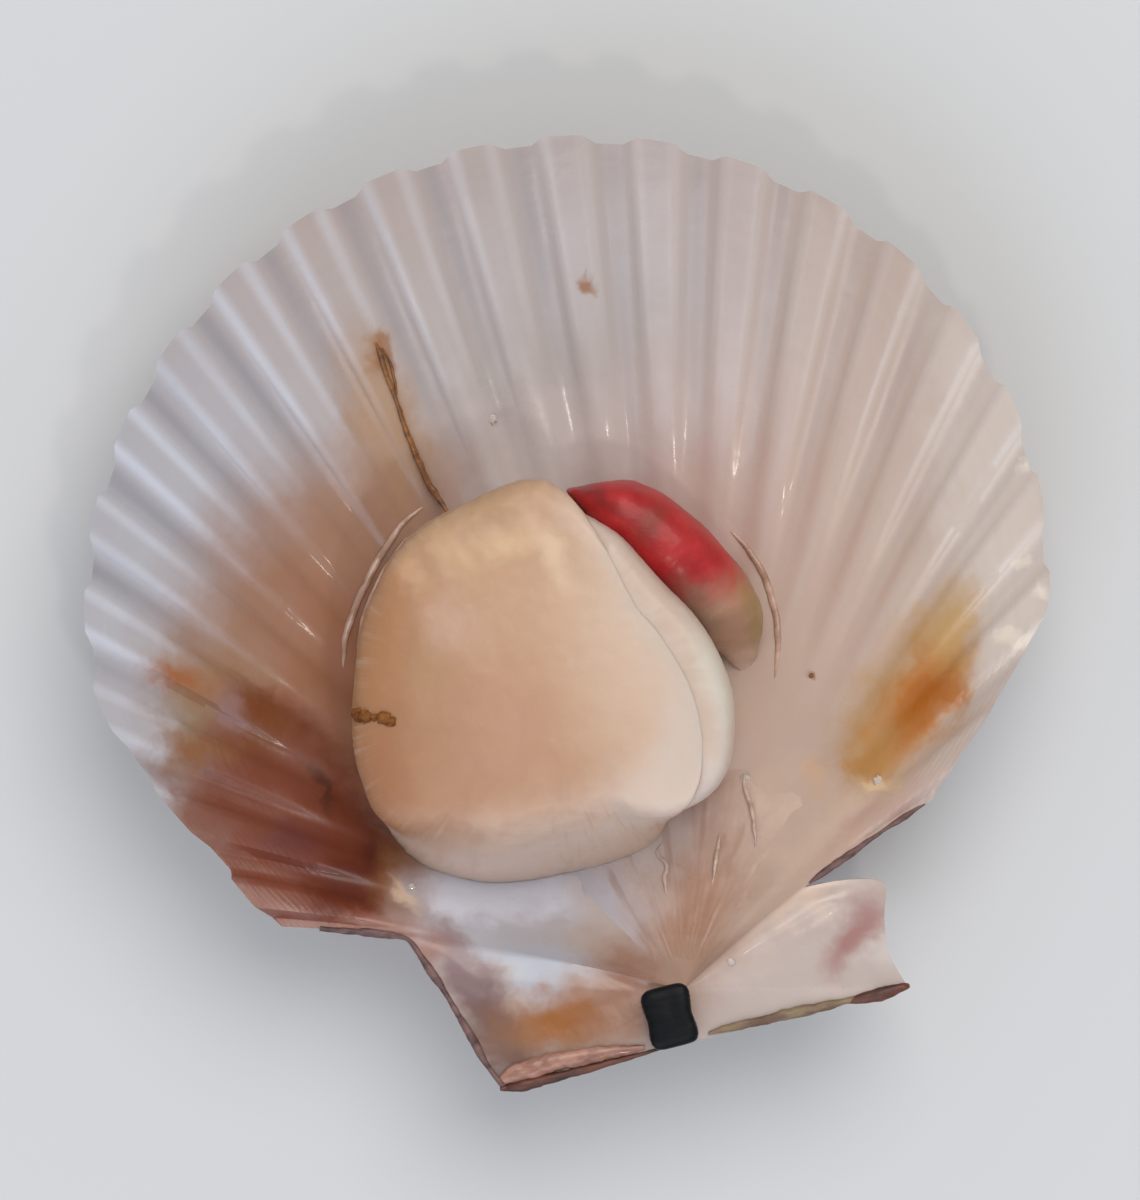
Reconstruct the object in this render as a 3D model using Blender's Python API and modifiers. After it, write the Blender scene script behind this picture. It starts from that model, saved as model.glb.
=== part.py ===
"""A queen scallop on the half shell: one ribbed valve with its meat still in it.

The valve lies open side up on a small flat spot. The hinge line runs along X at the low-Y side, the ribs
fan out from the umbo towards +Y, and the rim lies in one level plane. In the cup stand the adductor
muscle, its white catch muscle and the coral. A torn piece of black ligament and two strips of hinge skin
stay on the hinge plate.
"""

import math

import bmesh
import bpy
from mathutils import Vector

MM = 0.001

# The valve. Plan positions are counted from the umbo, where the ribs meet.
UMBO = Vector((0.97 * MM, -26.87 * MM))
DISC_CENTRE = Vector((-1.0 * MM, 27.5 * MM))
DISC_HALF_WIDTH = 31.9 * MM
DISC_HALF_HEIGHT = 29.8 * MM
RIM_Z = 11.6 * MM
CUP_DEPTH = 10.7 * MM
WALL = 1.3 * MM
WALL_AT_UMBO = 2.1 * MM
WALL_AT_RIM = 1.0 * MM
STEEPEST_WALL = 0.6
DEEPEST_REACH = 0.42
CUP_ROUNDNESS = 2.2
SIDE_ROUNDNESS = 2.6
SHOULDER_SHARE = 0.07

# Ribs, one every RIB_PITCH degrees, each a flat top between two flanks.
RIB_PITCH = 6.1
RIBS_EACH_SIDE = 10
RIB_TOP_SHARE = 0.44
RIB_FLANK_SHARE = 0.12
RIB_HEIGHT_AT_RIM = 0.9 * MM
RIB_HEIGHT_OUTSIDE = 0.35 * MM
RIB_GROWS_FROM = 0.4
RIM_SCALLOP = 0.25 * MM
SHOULDER_ANGLE = RIB_PITCH * (RIBS_EACH_SIDE + 0.5)
RAY_BEND = 0.09
ROWS = 16
EAR_ROWS = 9

# How far the margin draws in at each shoulder: from this angle, to this angle, by this share.
LEFT_SHOULDER_PINCH = (48.0, 62.0, 0.115)
RIGHT_SHOULDER_PINCH = (57.0, 66.0, 0.24)

# The ears' free margins, from the shoulder to the end of the hinge line, in millimetres from the umbo.
HINGE_Y = -3.5 * MM
HINGE_STEPS = 6
LEFT_NOTCH_REACH = 0.69
LEFT_EAR_MARGIN = ((-15.9, 5.2), (-15.1, 2.8), (-14.4, 0.4), (-13.8, -1.8), (-13.0, -3.5))
RIGHT_NOTCH_REACH = 0.5
RIGHT_EAR_MARGIN = ((12.3, 4.4), (14.6, 3.6), (14.1, 1.4), (13.8, -1.0), (14.5, -3.5))

# The meat. Radii are taken every 24 degrees from its centre, anticlockwise from +X, in millimetres.
CLEARANCE = 0.3 * MM
FLOOR_CLEARANCE = 0.5 * MM
MEAT_CENTRE = Vector((-4.6 * MM, 22.4 * MM))
MEAT_RADII = (11.7, 10.4, 11.0, 13.2, 12.7, 12.3, 11.9, 11.9, 13.0, 14.2, 13.8, 12.9, 13.3, 14.4, 13.3)
MEAT_TOP_Z = RIM_Z + 3.0 * MM
MEAT_BELLY_SHARE = 0.45
MEAT_FOOT_SHARE = 0.86
MEAT_EDGE_ROUNDNESS = 0.35

# The catch muscle lies along the meat's right side, between these two angles round its centre.
CATCH_FROM = -66.0
CATCH_TO = 72.0
CATCH_WIDTH = 2.9 * MM
CATCH_WIDEST_AT = 0.42
CATCH_TOP_DROP = 0.4 * MM

# A swept piece's section is a rounded block, which narrows and sinks over this share of each end.
SWEEP_ROUNDNESS = 0.5
SWEEP_TAPER_SHARE = 0.16
SWEEP_END_HEIGHT = 0.35

# The coral's midline from its tip to its root, with its width there: x, y, width in millimetres.
CORAL_LINE = (
    (1.3, 34.9, 0.5),
    (3.6, 33.6, 2.4),
    (5.3, 31.9, 3.7),
    (7.1, 29.2, 3.9),
    (8.6, 26.7, 3.6),
    (9.8, 24.2, 3.1),
    (10.5, 22.0, 2.4),
    (10.6, 20.0, 0.8),
)
CORAL_TOP_Z = 10.6 * MM
CORAL_ROOT_TOP_Z = 8.6 * MM

# What is left of the ligament on the hinge plate.
LIGAMENT_CENTRE = Vector((-1.3 * MM, -1.45 * MM))
LIGAMENT_SIZE = Vector((3.4 * MM, 4.1 * MM, 1.8 * MM))
LIGAMENT_WAIST = 0.9
LEFT_STRIP = (-13.2 * MM, -3.3 * MM, 1.2 * MM)
RIGHT_STRIP = (0.7 * MM, 14.6 * MM, 0.8 * MM)
STRIP_THICKNESS = 0.7 * MM


def smooth_step(low, high, value):
    share = min(max((value - low) / (high - low), 0.0), 1.0)
    return share * share * (3.0 - 2.0 * share)


def spline(values, position):
    """A smooth value at this position along a row of numbers or vectors, one apart."""
    last = len(values) - 1
    index = min(int(position), last - 1)
    share = position - index
    before = values[max(index - 1, 0)]
    start, end = values[index], values[index + 1]
    after = values[min(index + 2, last)]
    return 0.5 * (
        2.0 * start
        + (end - before) * share
        + (2.0 * before - 5.0 * start + 4.0 * end - after) * share**2
        + (3.0 * start - before - 3.0 * end + after) * share**3
    )


def ray_angle(start_angle, reach):
    """The direction of a rib's line, in degrees from +Y: the side ribs curve outwards."""
    lean = (start_angle / SHOULDER_ANGLE) ** 2
    return start_angle * (1.0 + RAY_BEND * lean * (reach - 0.5))


def margin_radius(angle):
    """How far the margin is from the umbo: an ellipse, drawn in at both shoulders."""
    direction = Vector((math.sin(math.radians(angle)), math.cos(math.radians(angle))))
    scaled = Vector((direction.x / DISC_HALF_WIDTH, direction.y / DISC_HALF_HEIGHT))
    centre = Vector((DISC_CENTRE.x / DISC_HALF_WIDTH, DISC_CENTRE.y / DISC_HALF_HEIGHT))
    along = scaled.dot(centre)
    root = math.sqrt(along**2 - scaled.length_squared * (centre.length_squared - 1.0))
    low, high, share = LEFT_SHOULDER_PINCH if angle < 0 else RIGHT_SHOULDER_PINCH
    pinch = share * smooth_step(low, high, abs(angle))
    return (along + root) / scaled.length_squared * (1.0 - pinch)


def cup_depth(start_angle, reach):
    """Depth of the valve's inner face under the rim plane, before the ribs."""
    side = DEEPEST_REACH if reach < DEEPEST_REACH else 1.0 - DEEPEST_REACH
    along = 1.0 - abs((reach - DEEPEST_REACH) / side) ** CUP_ROUNDNESS
    turned = min(abs(start_angle) / SHOULDER_ANGLE, 1.0)
    across = 1.0 - (1.0 - SHOULDER_SHARE) * turned**SIDE_ROUNDNESS
    return CUP_DEPTH * along * across


def rib_half_height(reach):
    return 0.5 * RIB_HEIGHT_AT_RIM * smooth_step(RIB_GROWS_FROM, 1.0, reach)


def wall_at(reach):
    """The wall is thick at the umbo and thin at the rim."""
    thick = (WALL_AT_UMBO - WALL) * (1.0 - smooth_step(0.0, 0.3, reach))
    thin = (WALL - WALL_AT_RIM) * smooth_step(0.7, 1.0, reach)
    return WALL + thick - thin


def outer_rib_height(reach):
    """The outside keeps its ribs where the inside has lost them."""
    return RIB_HEIGHT_OUTSIDE * smooth_step(0.0, 0.3, reach) * (1.0 - smooth_step(RIB_GROWS_FROM, 1.0, reach))


def floor_z(x, y):
    """Height of the inner face at a plan position counted from the umbo."""
    distance = math.hypot(x, y)
    angle = math.degrees(math.atan2(x, y))
    start_angle = angle
    reach = 0.5
    for _ in range(6):
        reach = min(distance / margin_radius(ray_angle(start_angle, 1.0)), 1.0)
        lean = (start_angle / SHOULDER_ANGLE) ** 2
        start_angle = angle / (1.0 + RAY_BEND * lean * (reach - 0.5))
    return RIM_Z - cup_depth(start_angle, reach)


def disc_columns():
    """Every ray of the disc as (start angle, +1 on a rib's top or -1 in a groove), left to right."""
    top = 0.5 * RIB_TOP_SHARE
    columns = [(-SHOULDER_ANGLE, -1)]
    for rib in range(-RIBS_EACH_SIDE, RIBS_EACH_SIDE + 1):
        for side, relief in ((-top - RIB_FLANK_SHARE, -1), (-top, 1), (top, 1), (top + RIB_FLANK_SHARE, -1)):
            columns.append((RIB_PITCH * (rib + side), relief))
    columns.append((SHOULDER_ANGLE, -1))
    return columns


def disc_point(start_angle, relief, reach):
    angle = math.radians(ray_angle(start_angle, reach))
    radius = reach * margin_radius(ray_angle(start_angle, 1.0))
    radius += relief * RIM_SCALLOP * smooth_step(0.8, 1.0, reach)
    height = RIM_Z - cup_depth(start_angle, reach) + relief * rib_half_height(reach)
    if reach == 0.0:
        height = RIM_Z
    return Vector((radius * math.sin(angle), radius * math.cos(angle), height))


def ear_outline(margin):
    """The free margin's points and then the hinge line's, back to under the umbo."""
    points = [Vector((x * MM, y * MM)) for x, y in margin]
    corner = points[-1]
    end = Vector((0.0, HINGE_Y))
    points += [corner.lerp(end, step / HINGE_STEPS) for step in range(1, HINGE_STEPS + 1)]
    return points


def reach_at(row, start_angle):
    """A row's share of the way to the margin: the last row of the ears meets the notch on either side."""
    turned = 0.5 + 0.5 * start_angle / SHOULDER_ANGLE
    notch = LEFT_NOTCH_REACH + (RIGHT_NOTCH_REACH - LEFT_NOTCH_REACH) * turned
    return (row / ROWS) ** (math.log(notch) / math.log(EAR_ROWS / ROWS))


def ear_point(outline, step, row, reach):
    """A point of an ear: its shelf joins the shoulder and flattens out towards the hinge."""
    place = outline[step] * (row / EAR_ROWS)
    sink = cup_depth(SHOULDER_ANGLE, reach) * (1.0 - (step + 1) / len(outline)) ** 2
    return Vector((place.x, place.y, RIM_Z - sink))


def valve_columns():
    """The grid's columns, anticlockwise from under the umbo: an ear, the disc's rays, the other ear."""
    left = ear_outline(LEFT_EAR_MARGIN)
    right = ear_outline(RIGHT_EAR_MARGIN)
    columns = [(left, step, -SHOULDER_ANGLE, 0) for step in reversed(range(len(left)))]
    columns += [(None, 0, start_angle, relief) for start_angle, relief in disc_columns()]
    columns += [(right, step, SHOULDER_ANGLE, 0) for step in range(len(right))]
    return columns


def valve_mesh():
    """The valve: a grid whose columns fan out from the umbo all the way round, and its lowered copy.

    The grid is the inner face. Its copy, a wall's thickness lower, is the outer face, cut level where the
    valve rests.
    """
    columns = valve_columns()
    mesh = bmesh.new()
    drop = mesh.verts.layers.float.new("drop")
    bmesh.ops.create_grid(mesh, x_segments=len(columns) - 1, y_segments=ROWS, size=0.5)
    unwanted = []
    for vertex in mesh.verts:
        outline, step, start_angle, relief = columns[round((vertex.co.x + 0.5) * (len(columns) - 1))]
        row = round((vertex.co.y + 0.5) * ROWS)
        reach = reach_at(row, start_angle)
        vertex[drop] = wall_at(reach)
        if outline is None:
            vertex.co = disc_point(start_angle, relief, reach)
            vertex[drop] += outer_rib_height(reach) if relief < 0 else 0.0
        elif row > EAR_ROWS:
            unwanted.append(vertex)
        else:
            vertex.co = ear_point(outline, step, row, reach)
    bmesh.ops.delete(mesh, geom=unwanted, context="VERTS")
    bmesh.ops.remove_doubles(mesh, verts=mesh.verts, dist=0.01 * MM)
    mesh.normal_update()
    for vertex in mesh.verts:
        vertex[drop] /= max(abs(vertex.normal.z), STEEPEST_WALL)
    lowered = bmesh.ops.extrude_face_region(mesh, geom=mesh.faces[:], use_keep_orig=True)
    for vertex in lowered["geom"]:
        if isinstance(vertex, bmesh.types.BMVert):
            vertex.co.z = max(vertex.co.z - vertex[drop], 0.0)
    bmesh.ops.recalc_face_normals(mesh, faces=mesh.faces)
    return mesh


def add_material(name, colour, roughness):
    material = bpy.data.materials.new(name)
    material.use_nodes = True
    surface = material.node_tree.nodes["Principled BSDF"]
    surface.inputs["Base Color"].default_value = (*colour, 1.0)
    surface.inputs["Roughness"].default_value = roughness
    surface.inputs["Metallic"].default_value = 0.0
    return material


def add_object(name, mesh, material, collection):
    """A sub-part from its bmesh, whose plan positions are counted from the umbo."""
    data = bpy.data.meshes.new(name)
    mesh.to_mesh(data)
    mesh.free()
    data.materials.append(material)
    data.shade_smooth()
    data.set_sharp_from_angle(angle=math.radians(40.0))
    made = bpy.data.objects.new(name, data)
    made.location = (UMBO.x, UMBO.y, 0.0)
    collection.objects.link(made)
    return made


def meat_radius(angle):
    """The whole meat's outline radius at an angle in degrees from +X."""
    count = len(MEAT_RADII)
    radii = MEAT_RADII[-2:] + MEAT_RADII + MEAT_RADII[:3]
    return spline(radii, 2.0 + (angle % 360.0) / 360.0 * count) * MM


def catch_width(angle):
    """Width of the catch muscle at an angle round the meat, nothing beyond its two ends."""
    share = ((angle + 180.0) % 360.0 - 180.0 - CATCH_FROM) / (CATCH_TO - CATCH_FROM)
    if share <= 0.0 or share >= 1.0:
        return 0.0
    rise = share / CATCH_WIDEST_AT if share < CATCH_WIDEST_AT else (1.0 - share) / (1.0 - CATCH_WIDEST_AT)
    return CATCH_WIDTH * smooth_step(0.0, 1.0, rise) ** 0.5


def boxy(wave, roundness):
    """A sine or cosine squared off towards a plate's or a barrel's outline."""
    return math.copysign(abs(wave) ** roundness, wave)


def height_between(bottom, top, belly, lift):
    """Height at a lift of -1 (bottom) to 1 (top), with the belly at lift 0."""
    middle = bottom + (top - bottom) * belly
    return middle + (top - middle) * lift if lift > 0.0 else middle + (middle - bottom) * lift


def add_adductor(collection):
    """The striated muscle: a short barrel on the cup's floor, cut flat on top."""
    mesh = bmesh.new()
    bmesh.ops.create_uvsphere(mesh, u_segments=36, v_segments=12, radius=1.0)
    for vertex in mesh.verts:
        ring = boxy(math.hypot(vertex.co.x, vertex.co.y), MEAT_EDGE_ROUNDNESS)
        lift = boxy(vertex.co.z, MEAT_EDGE_ROUNDNESS)
        angle = math.degrees(math.atan2(vertex.co.y, vertex.co.x))
        width = catch_width(angle)
        radius = meat_radius(angle) - width - (CLEARANCE * smooth_step(0.0, CLEARANCE, width))
        radius *= ring * (MEAT_FOOT_SHARE + (1.0 - MEAT_FOOT_SHARE) * smooth_step(-1.0, 0.2, lift))
        x = MEAT_CENTRE.x + radius * math.cos(math.radians(angle))
        y = MEAT_CENTRE.y + radius * math.sin(math.radians(angle))
        bottom = floor_z(x, y) + FLOOR_CLEARANCE
        vertex.co = (x, y, height_between(bottom, MEAT_TOP_Z, MEAT_BELLY_SHARE, lift))
    material = add_material("muscle_peach_cream", (0.62, 0.42, 0.27), 0.45)
    add_object("adductor_muscle", mesh, material, collection)


def add_swept_piece(name, material, collection, stations, section):
    """A long soft piece: a sphere drawn out along a line, closed at both ends.

    section(share) gives the middle, the half width across, the unit vector across, and the top height.
    """
    mesh = bmesh.new()
    bmesh.ops.create_uvsphere(mesh, u_segments=14, v_segments=stations, radius=1.0)
    for vertex in mesh.verts:
        share = 1.0 - math.acos(min(max(vertex.co.z, -1.0), 1.0)) / math.pi
        middle, half_width, across, top = section(share)
        ring = math.hypot(vertex.co.x, vertex.co.y)
        side, lift = (vertex.co.x / ring, vertex.co.y / ring) if ring > 1e-6 else (0.0, 0.0)
        end = min(1.0, min(share, 1.0 - share) / SWEEP_TAPER_SHARE)
        place = middle + across * half_width * boxy(side, SWEEP_ROUNDNESS) * end
        bottom = floor_z(place.x, place.y) + FLOOR_CLEARANCE
        lift = boxy(lift, SWEEP_ROUNDNESS) * (SWEEP_END_HEIGHT + (1.0 - SWEEP_END_HEIGHT) * end)
        vertex.co = (place.x, place.y, height_between(bottom, top, 0.5, lift))
    if mesh.calc_volume(signed=True) < 0.0:
        bmesh.ops.reverse_faces(mesh, faces=mesh.faces)
    add_object(name, mesh, material, collection)


def catch_section(share):
    angle = CATCH_FROM + (CATCH_TO - CATCH_FROM) * (0.04 + 0.92 * share)
    across = Vector((math.cos(math.radians(angle)), math.sin(math.radians(angle))))
    width = catch_width(angle)
    middle = MEAT_CENTRE + across * (meat_radius(angle) - 0.5 * width)
    return middle, 0.5 * width, across, MEAT_TOP_Z - CATCH_TOP_DROP


def coral_section(share):
    line = [Vector((x * MM, y * MM, width * MM)) for x, y, width in CORAL_LINE]
    position = share * (len(line) - 1)
    here = spline(line, position)
    step = spline(line, min(position + 0.05, len(line) - 1.0)) - spline(line, max(position - 0.05, 0.0))
    across = Vector((step.y, -step.x)).normalized()
    top = CORAL_TOP_Z + (CORAL_ROOT_TOP_Z - CORAL_TOP_Z) * smooth_step(0.5, 0.8, share)
    return Vector((here.x, here.y)), 0.5 * here.z, across, top


def add_ligament(collection):
    """The black inner ligament: a small rounded block with a waist."""
    mesh = bmesh.new()
    bmesh.ops.create_cube(mesh, size=1.0)
    bmesh.ops.subdivide_edges(mesh, edges=mesh.edges, cuts=1, use_grid_fill=True)
    for vertex in mesh.verts:
        waist = LIGAMENT_WAIST if abs(vertex.co.y) < 0.1 else 1.0
        vertex.co.x *= LIGAMENT_SIZE.x * waist
        vertex.co.y *= LIGAMENT_SIZE.y
        vertex.co.z = RIM_Z + CLEARANCE + LIGAMENT_SIZE.z * (vertex.co.z + 0.5)
        vertex.co.x += LIGAMENT_CENTRE.x
        vertex.co.y += LIGAMENT_CENTRE.y
    material = add_material("ligament_black", (0.012, 0.014, 0.018), 0.35)
    block = add_object("inner_ligament", mesh, material, collection)
    edges = block.modifiers.new("rounded_edges", "BEVEL")
    edges.width = 0.45 * MM
    edges.segments = 3
    edges.angle_limit = math.radians(40.0)


def add_hinge_strip(name, strip, colour, collection):
    """A strip of dried hinge skin along the straight edge."""
    left, right, width = strip
    mesh = bmesh.new()
    bmesh.ops.create_cube(mesh, size=1.0)
    for vertex in mesh.verts:
        vertex.co.x = 0.5 * (left + right) + (right - left) * vertex.co.x
        vertex.co.y = HINGE_Y + width * (vertex.co.y + 0.25)
        vertex.co.z = RIM_Z + CLEARANCE + STRIP_THICKNESS * (vertex.co.z + 0.5)
    strip_object = add_object(name, mesh, add_material(name, colour, 0.6), collection)
    edges = strip_object.modifiers.new("rounded_edges", "BEVEL")
    edges.width = 0.2 * MM
    edges.segments = 2


def main():
    for old in list(bpy.data.objects):
        bpy.data.objects.remove(old, do_unlink=True)
    collection = bpy.data.collections.new("scallop_on_half_shell")
    bpy.context.scene.collection.children.link(collection)
    pearl = add_material("shell_pink_grey", (0.56, 0.44, 0.40), 0.3)
    add_object("scallop_valve", valve_mesh(), pearl, collection)
    add_adductor(collection)
    white = add_material("catch_muscle_white", (0.72, 0.70, 0.62), 0.4)
    add_swept_piece("catch_muscle", white, collection, 16, catch_section)
    red = add_material("coral_red", (0.55, 0.03, 0.03), 0.35)
    add_swept_piece("coral", red, collection, 16, coral_section)
    add_ligament(collection)
    add_hinge_strip("hinge_strip_left", LEFT_STRIP, (0.36, 0.13, 0.06), collection)
    add_hinge_strip("hinge_strip_right", RIGHT_STRIP, (0.22, 0.16, 0.09), collection)


main()
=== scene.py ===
"""A queen scallop on the half shell: its finished meshes and materials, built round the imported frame.

It is laid out as an add-on and run as a script. Plan places in the tables are millimetres from the umbo,
where the ribs meet: x runs along the hinge line, and y towards the far rim.
"""

import math
from functools import partial

import bmesh
import bpy
from bpy.props import FloatProperty, FloatVectorProperty, PointerProperty
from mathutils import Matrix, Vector, noise
from mathutils.bvhtree import BVHTree


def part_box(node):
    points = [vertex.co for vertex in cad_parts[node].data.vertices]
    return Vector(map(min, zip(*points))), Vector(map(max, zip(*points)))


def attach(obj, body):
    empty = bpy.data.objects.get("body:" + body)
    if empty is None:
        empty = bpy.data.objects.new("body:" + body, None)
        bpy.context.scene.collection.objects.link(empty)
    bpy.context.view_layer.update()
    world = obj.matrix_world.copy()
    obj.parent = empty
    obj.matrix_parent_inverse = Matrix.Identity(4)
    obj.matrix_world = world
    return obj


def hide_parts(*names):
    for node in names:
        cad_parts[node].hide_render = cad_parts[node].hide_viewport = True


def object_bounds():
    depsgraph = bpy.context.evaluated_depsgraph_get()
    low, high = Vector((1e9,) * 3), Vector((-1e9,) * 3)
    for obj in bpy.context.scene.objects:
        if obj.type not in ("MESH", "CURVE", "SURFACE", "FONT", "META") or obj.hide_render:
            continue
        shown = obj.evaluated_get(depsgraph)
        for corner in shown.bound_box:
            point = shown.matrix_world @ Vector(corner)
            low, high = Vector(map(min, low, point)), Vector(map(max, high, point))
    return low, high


bl_info = {
    "name": "Scallop on the half shell",
    "version": (1, 0, 0),
    "blender": (4, 5, 0),
    "location": "3D View > Sidebar > Scallop",
    "description": "Builds a scallop on the half shell: its valve, its meat, its hinge and its stage",
    "category": "Object",
}

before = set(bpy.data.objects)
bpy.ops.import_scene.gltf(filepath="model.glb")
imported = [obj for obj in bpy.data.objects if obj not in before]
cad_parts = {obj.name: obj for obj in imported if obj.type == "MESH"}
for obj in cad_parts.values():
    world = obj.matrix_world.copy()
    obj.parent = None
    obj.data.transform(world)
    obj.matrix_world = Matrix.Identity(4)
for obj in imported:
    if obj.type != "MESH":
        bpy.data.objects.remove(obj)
CAD_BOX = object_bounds()
VALVE_LOW, VALVE_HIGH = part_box("scallop_valve")
MUSCLE_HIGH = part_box("adductor_muscle")[1]
CATCH_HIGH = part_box("catch_muscle")[1]
CORAL_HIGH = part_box("coral")[1]
LIGAMENT_LOW, LIGAMENT_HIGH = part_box("inner_ligament")

MM = 0.001
SMOOTH = {"interpolation_type": "SMOOTHSTEP"}

# The valve's plan and section, as in the frame.
HINGE_Y = -3.5 * MM
UMBO = Vector(((VALVE_LOW.x + VALVE_HIGH.x) / 2 + 0.97 * MM, VALVE_LOW.y - HINGE_Y))
DISC_CENTRE = Vector((-1.0 * MM, 27.5 * MM))
DISC_HALF_WIDTH = 31.9 * MM
DISC_HALF_HEIGHT = 29.8 * MM
RIB_HEIGHT_AT_RIM = 0.9 * MM
RIM_Z = VALVE_HIGH.z - 0.5 * RIB_HEIGHT_AT_RIM
CUP_DEPTH = 10.7 * MM
WALL = 1.3 * MM
WALL_AT_UMBO = 2.1 * MM
WALL_AT_RIM = 1.0 * MM
STEEPEST_WALL = 0.6
DEEPEST_REACH = 0.42
CUP_ROUNDNESS = 2.2
SIDE_ROUNDNESS = 2.6
SHOULDER_SHARE = 0.07
RIB_PITCH = 6.1
RIBS_EACH_SIDE = 10
RIBS_GROW_FROM = 0.4
SHOULDER_ANGLE = RIB_PITCH * (RIBS_EACH_SIDE + 0.5)
RAY_BEND = 0.09
LEFT_SHOULDER_PINCH = (48.0, 62.0, 0.115)
RIGHT_SHOULDER_PINCH = (57.0, 66.0, 0.24)
LEFT_NOTCH_REACH = 0.69
RIGHT_NOTCH_REACH = 0.5
LEFT_EAR_MARGIN = ((-15.9, 5.2), (-15.1, 2.8), (-14.4, 0.4), (-13.8, -1.8), (-13.0, -3.5))
RIGHT_EAR_MARGIN = ((12.3, 4.4), (14.6, 3.6), (14.1, 1.4), (13.8, -1.0), (14.5, -3.5))
HINGE_STEPS = 6

# How finely the valve is divided. The ears take EAR_ROW_SHARE of its rows.
COLUMNS_PER_RIB = 14
ROWS = 112
EAR_ROW_SHARE = 9 / 16
EAR_COLUMNS_PER_STEP = 4
EAR_RIDGE_HEIGHT = 0.45 * MM
VALVE_CREASE_ANGLE = 50.0
FLOOR_PASSES = 6
KNOT_STEPS = 6

# The meat, as in the frame.
MEAT_CENTRE = Vector((-4.6 * MM, 22.4 * MM))
MEAT_RADII = (12.0, 10.7, 11.3, 13.1, 12.4, 12.3, 11.9, 11.9, 13.0, 14.2, 13.8, 12.9, 13.3, 14.4, 13.6)
MEAT_TOP_Z = MUSCLE_HIGH.z
CATCH_TOP_Z = CATCH_HIGH.z
CATCH_FROM = -66.0
CATCH_TO = 72.0
CATCH_WIDTH = 2.9 * MM
CATCH_WIDEST_AT = 0.42
CATCH_COVERS_FROM = 1.6 * MM
CATCH_TUCKED_UNDER = 2.6 * MM
ANGLE_FADE = 25.0
FIBRE_RUN = 6.0 * MM
CORAL_LINE = (
    (0.9, 34.5, 1.0),
    (3.0, 33.0, 2.5),
    (4.9, 31.2, 3.7),
    (6.7, 28.7, 4.1),
    (8.2, 26.3, 3.9),
    (9.3, 24.0, 3.4),
    (9.8, 21.6, 2.7),
    (9.9, 19.0, 1.3),
)
CORAL_TOP_Z = CORAL_HIGH.z
CORAL_ROOT_TOP_Z = 8.6 * MM
SINK = 0.15 * MM
LIGAMENT_SINK = 0.4 * MM
LIGAMENT_CUTS = 23
LIGAMENT_SQUARENESS = 5

# The stage: each light's place from the scallop's middle in metres, its size, power and colour.
FLOOR_HALF_SIDE = 1.5
WORLD_STRENGTH = 0.62
LIGHTS = (
    ("key", (0.25, 0.35, 0.75), 0.7, 3.7, "FFF8F0"),
    ("fill", (-0.3, -0.5, 0.5), 0.6, 1.6, "E6EDFF"),
    ("glint", (0.05, -0.3, 0.6), 0.05, 0.35, "FFF4E6"),
)
CAMERA_SENSOR = 36.0
CAMERA_DISTANCE = 0.7
CAMERA_SPAN = 0.08
CAMERA_TURN = -14.15

# Soft-edged tones: x, y, half length, half width, turn in degrees, colour, strength, softness of the edge.
VALVE_GLAZE_TONES = (
    (-26.0, 34.0, 16.0, 20.0, 20.0, "B2B1B7", 0.95, 0.7),
    (20.0, 30.0, 17.0, 22.0, -20.0, "C5B0A1", 1.0, 0.8),
    (28.5, 27.0, 4.0, 16.0, -8.0, "D8CBBF", 0.8, 0.6),
    (3.0, 44.0, 12.0, 10.0, 0.0, "B5ADAA", 0.8, 0.8),
    (13.0, 22.0, 6.0, 10.0, -10.0, "C2A99A", 0.9, 0.7),
    (9.0, 32.0, 6.0, 7.0, -10.0, "C6AEA4", 0.7, 0.8),
    (9.4, 19.0, 2.4, 4.4, 0.0, "BCA496", 0.7, 0.8),
    (-0.5, 37.6, 10.0, 3.2, 0.0, "CABEBB", 0.8, 0.8),
)
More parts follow.
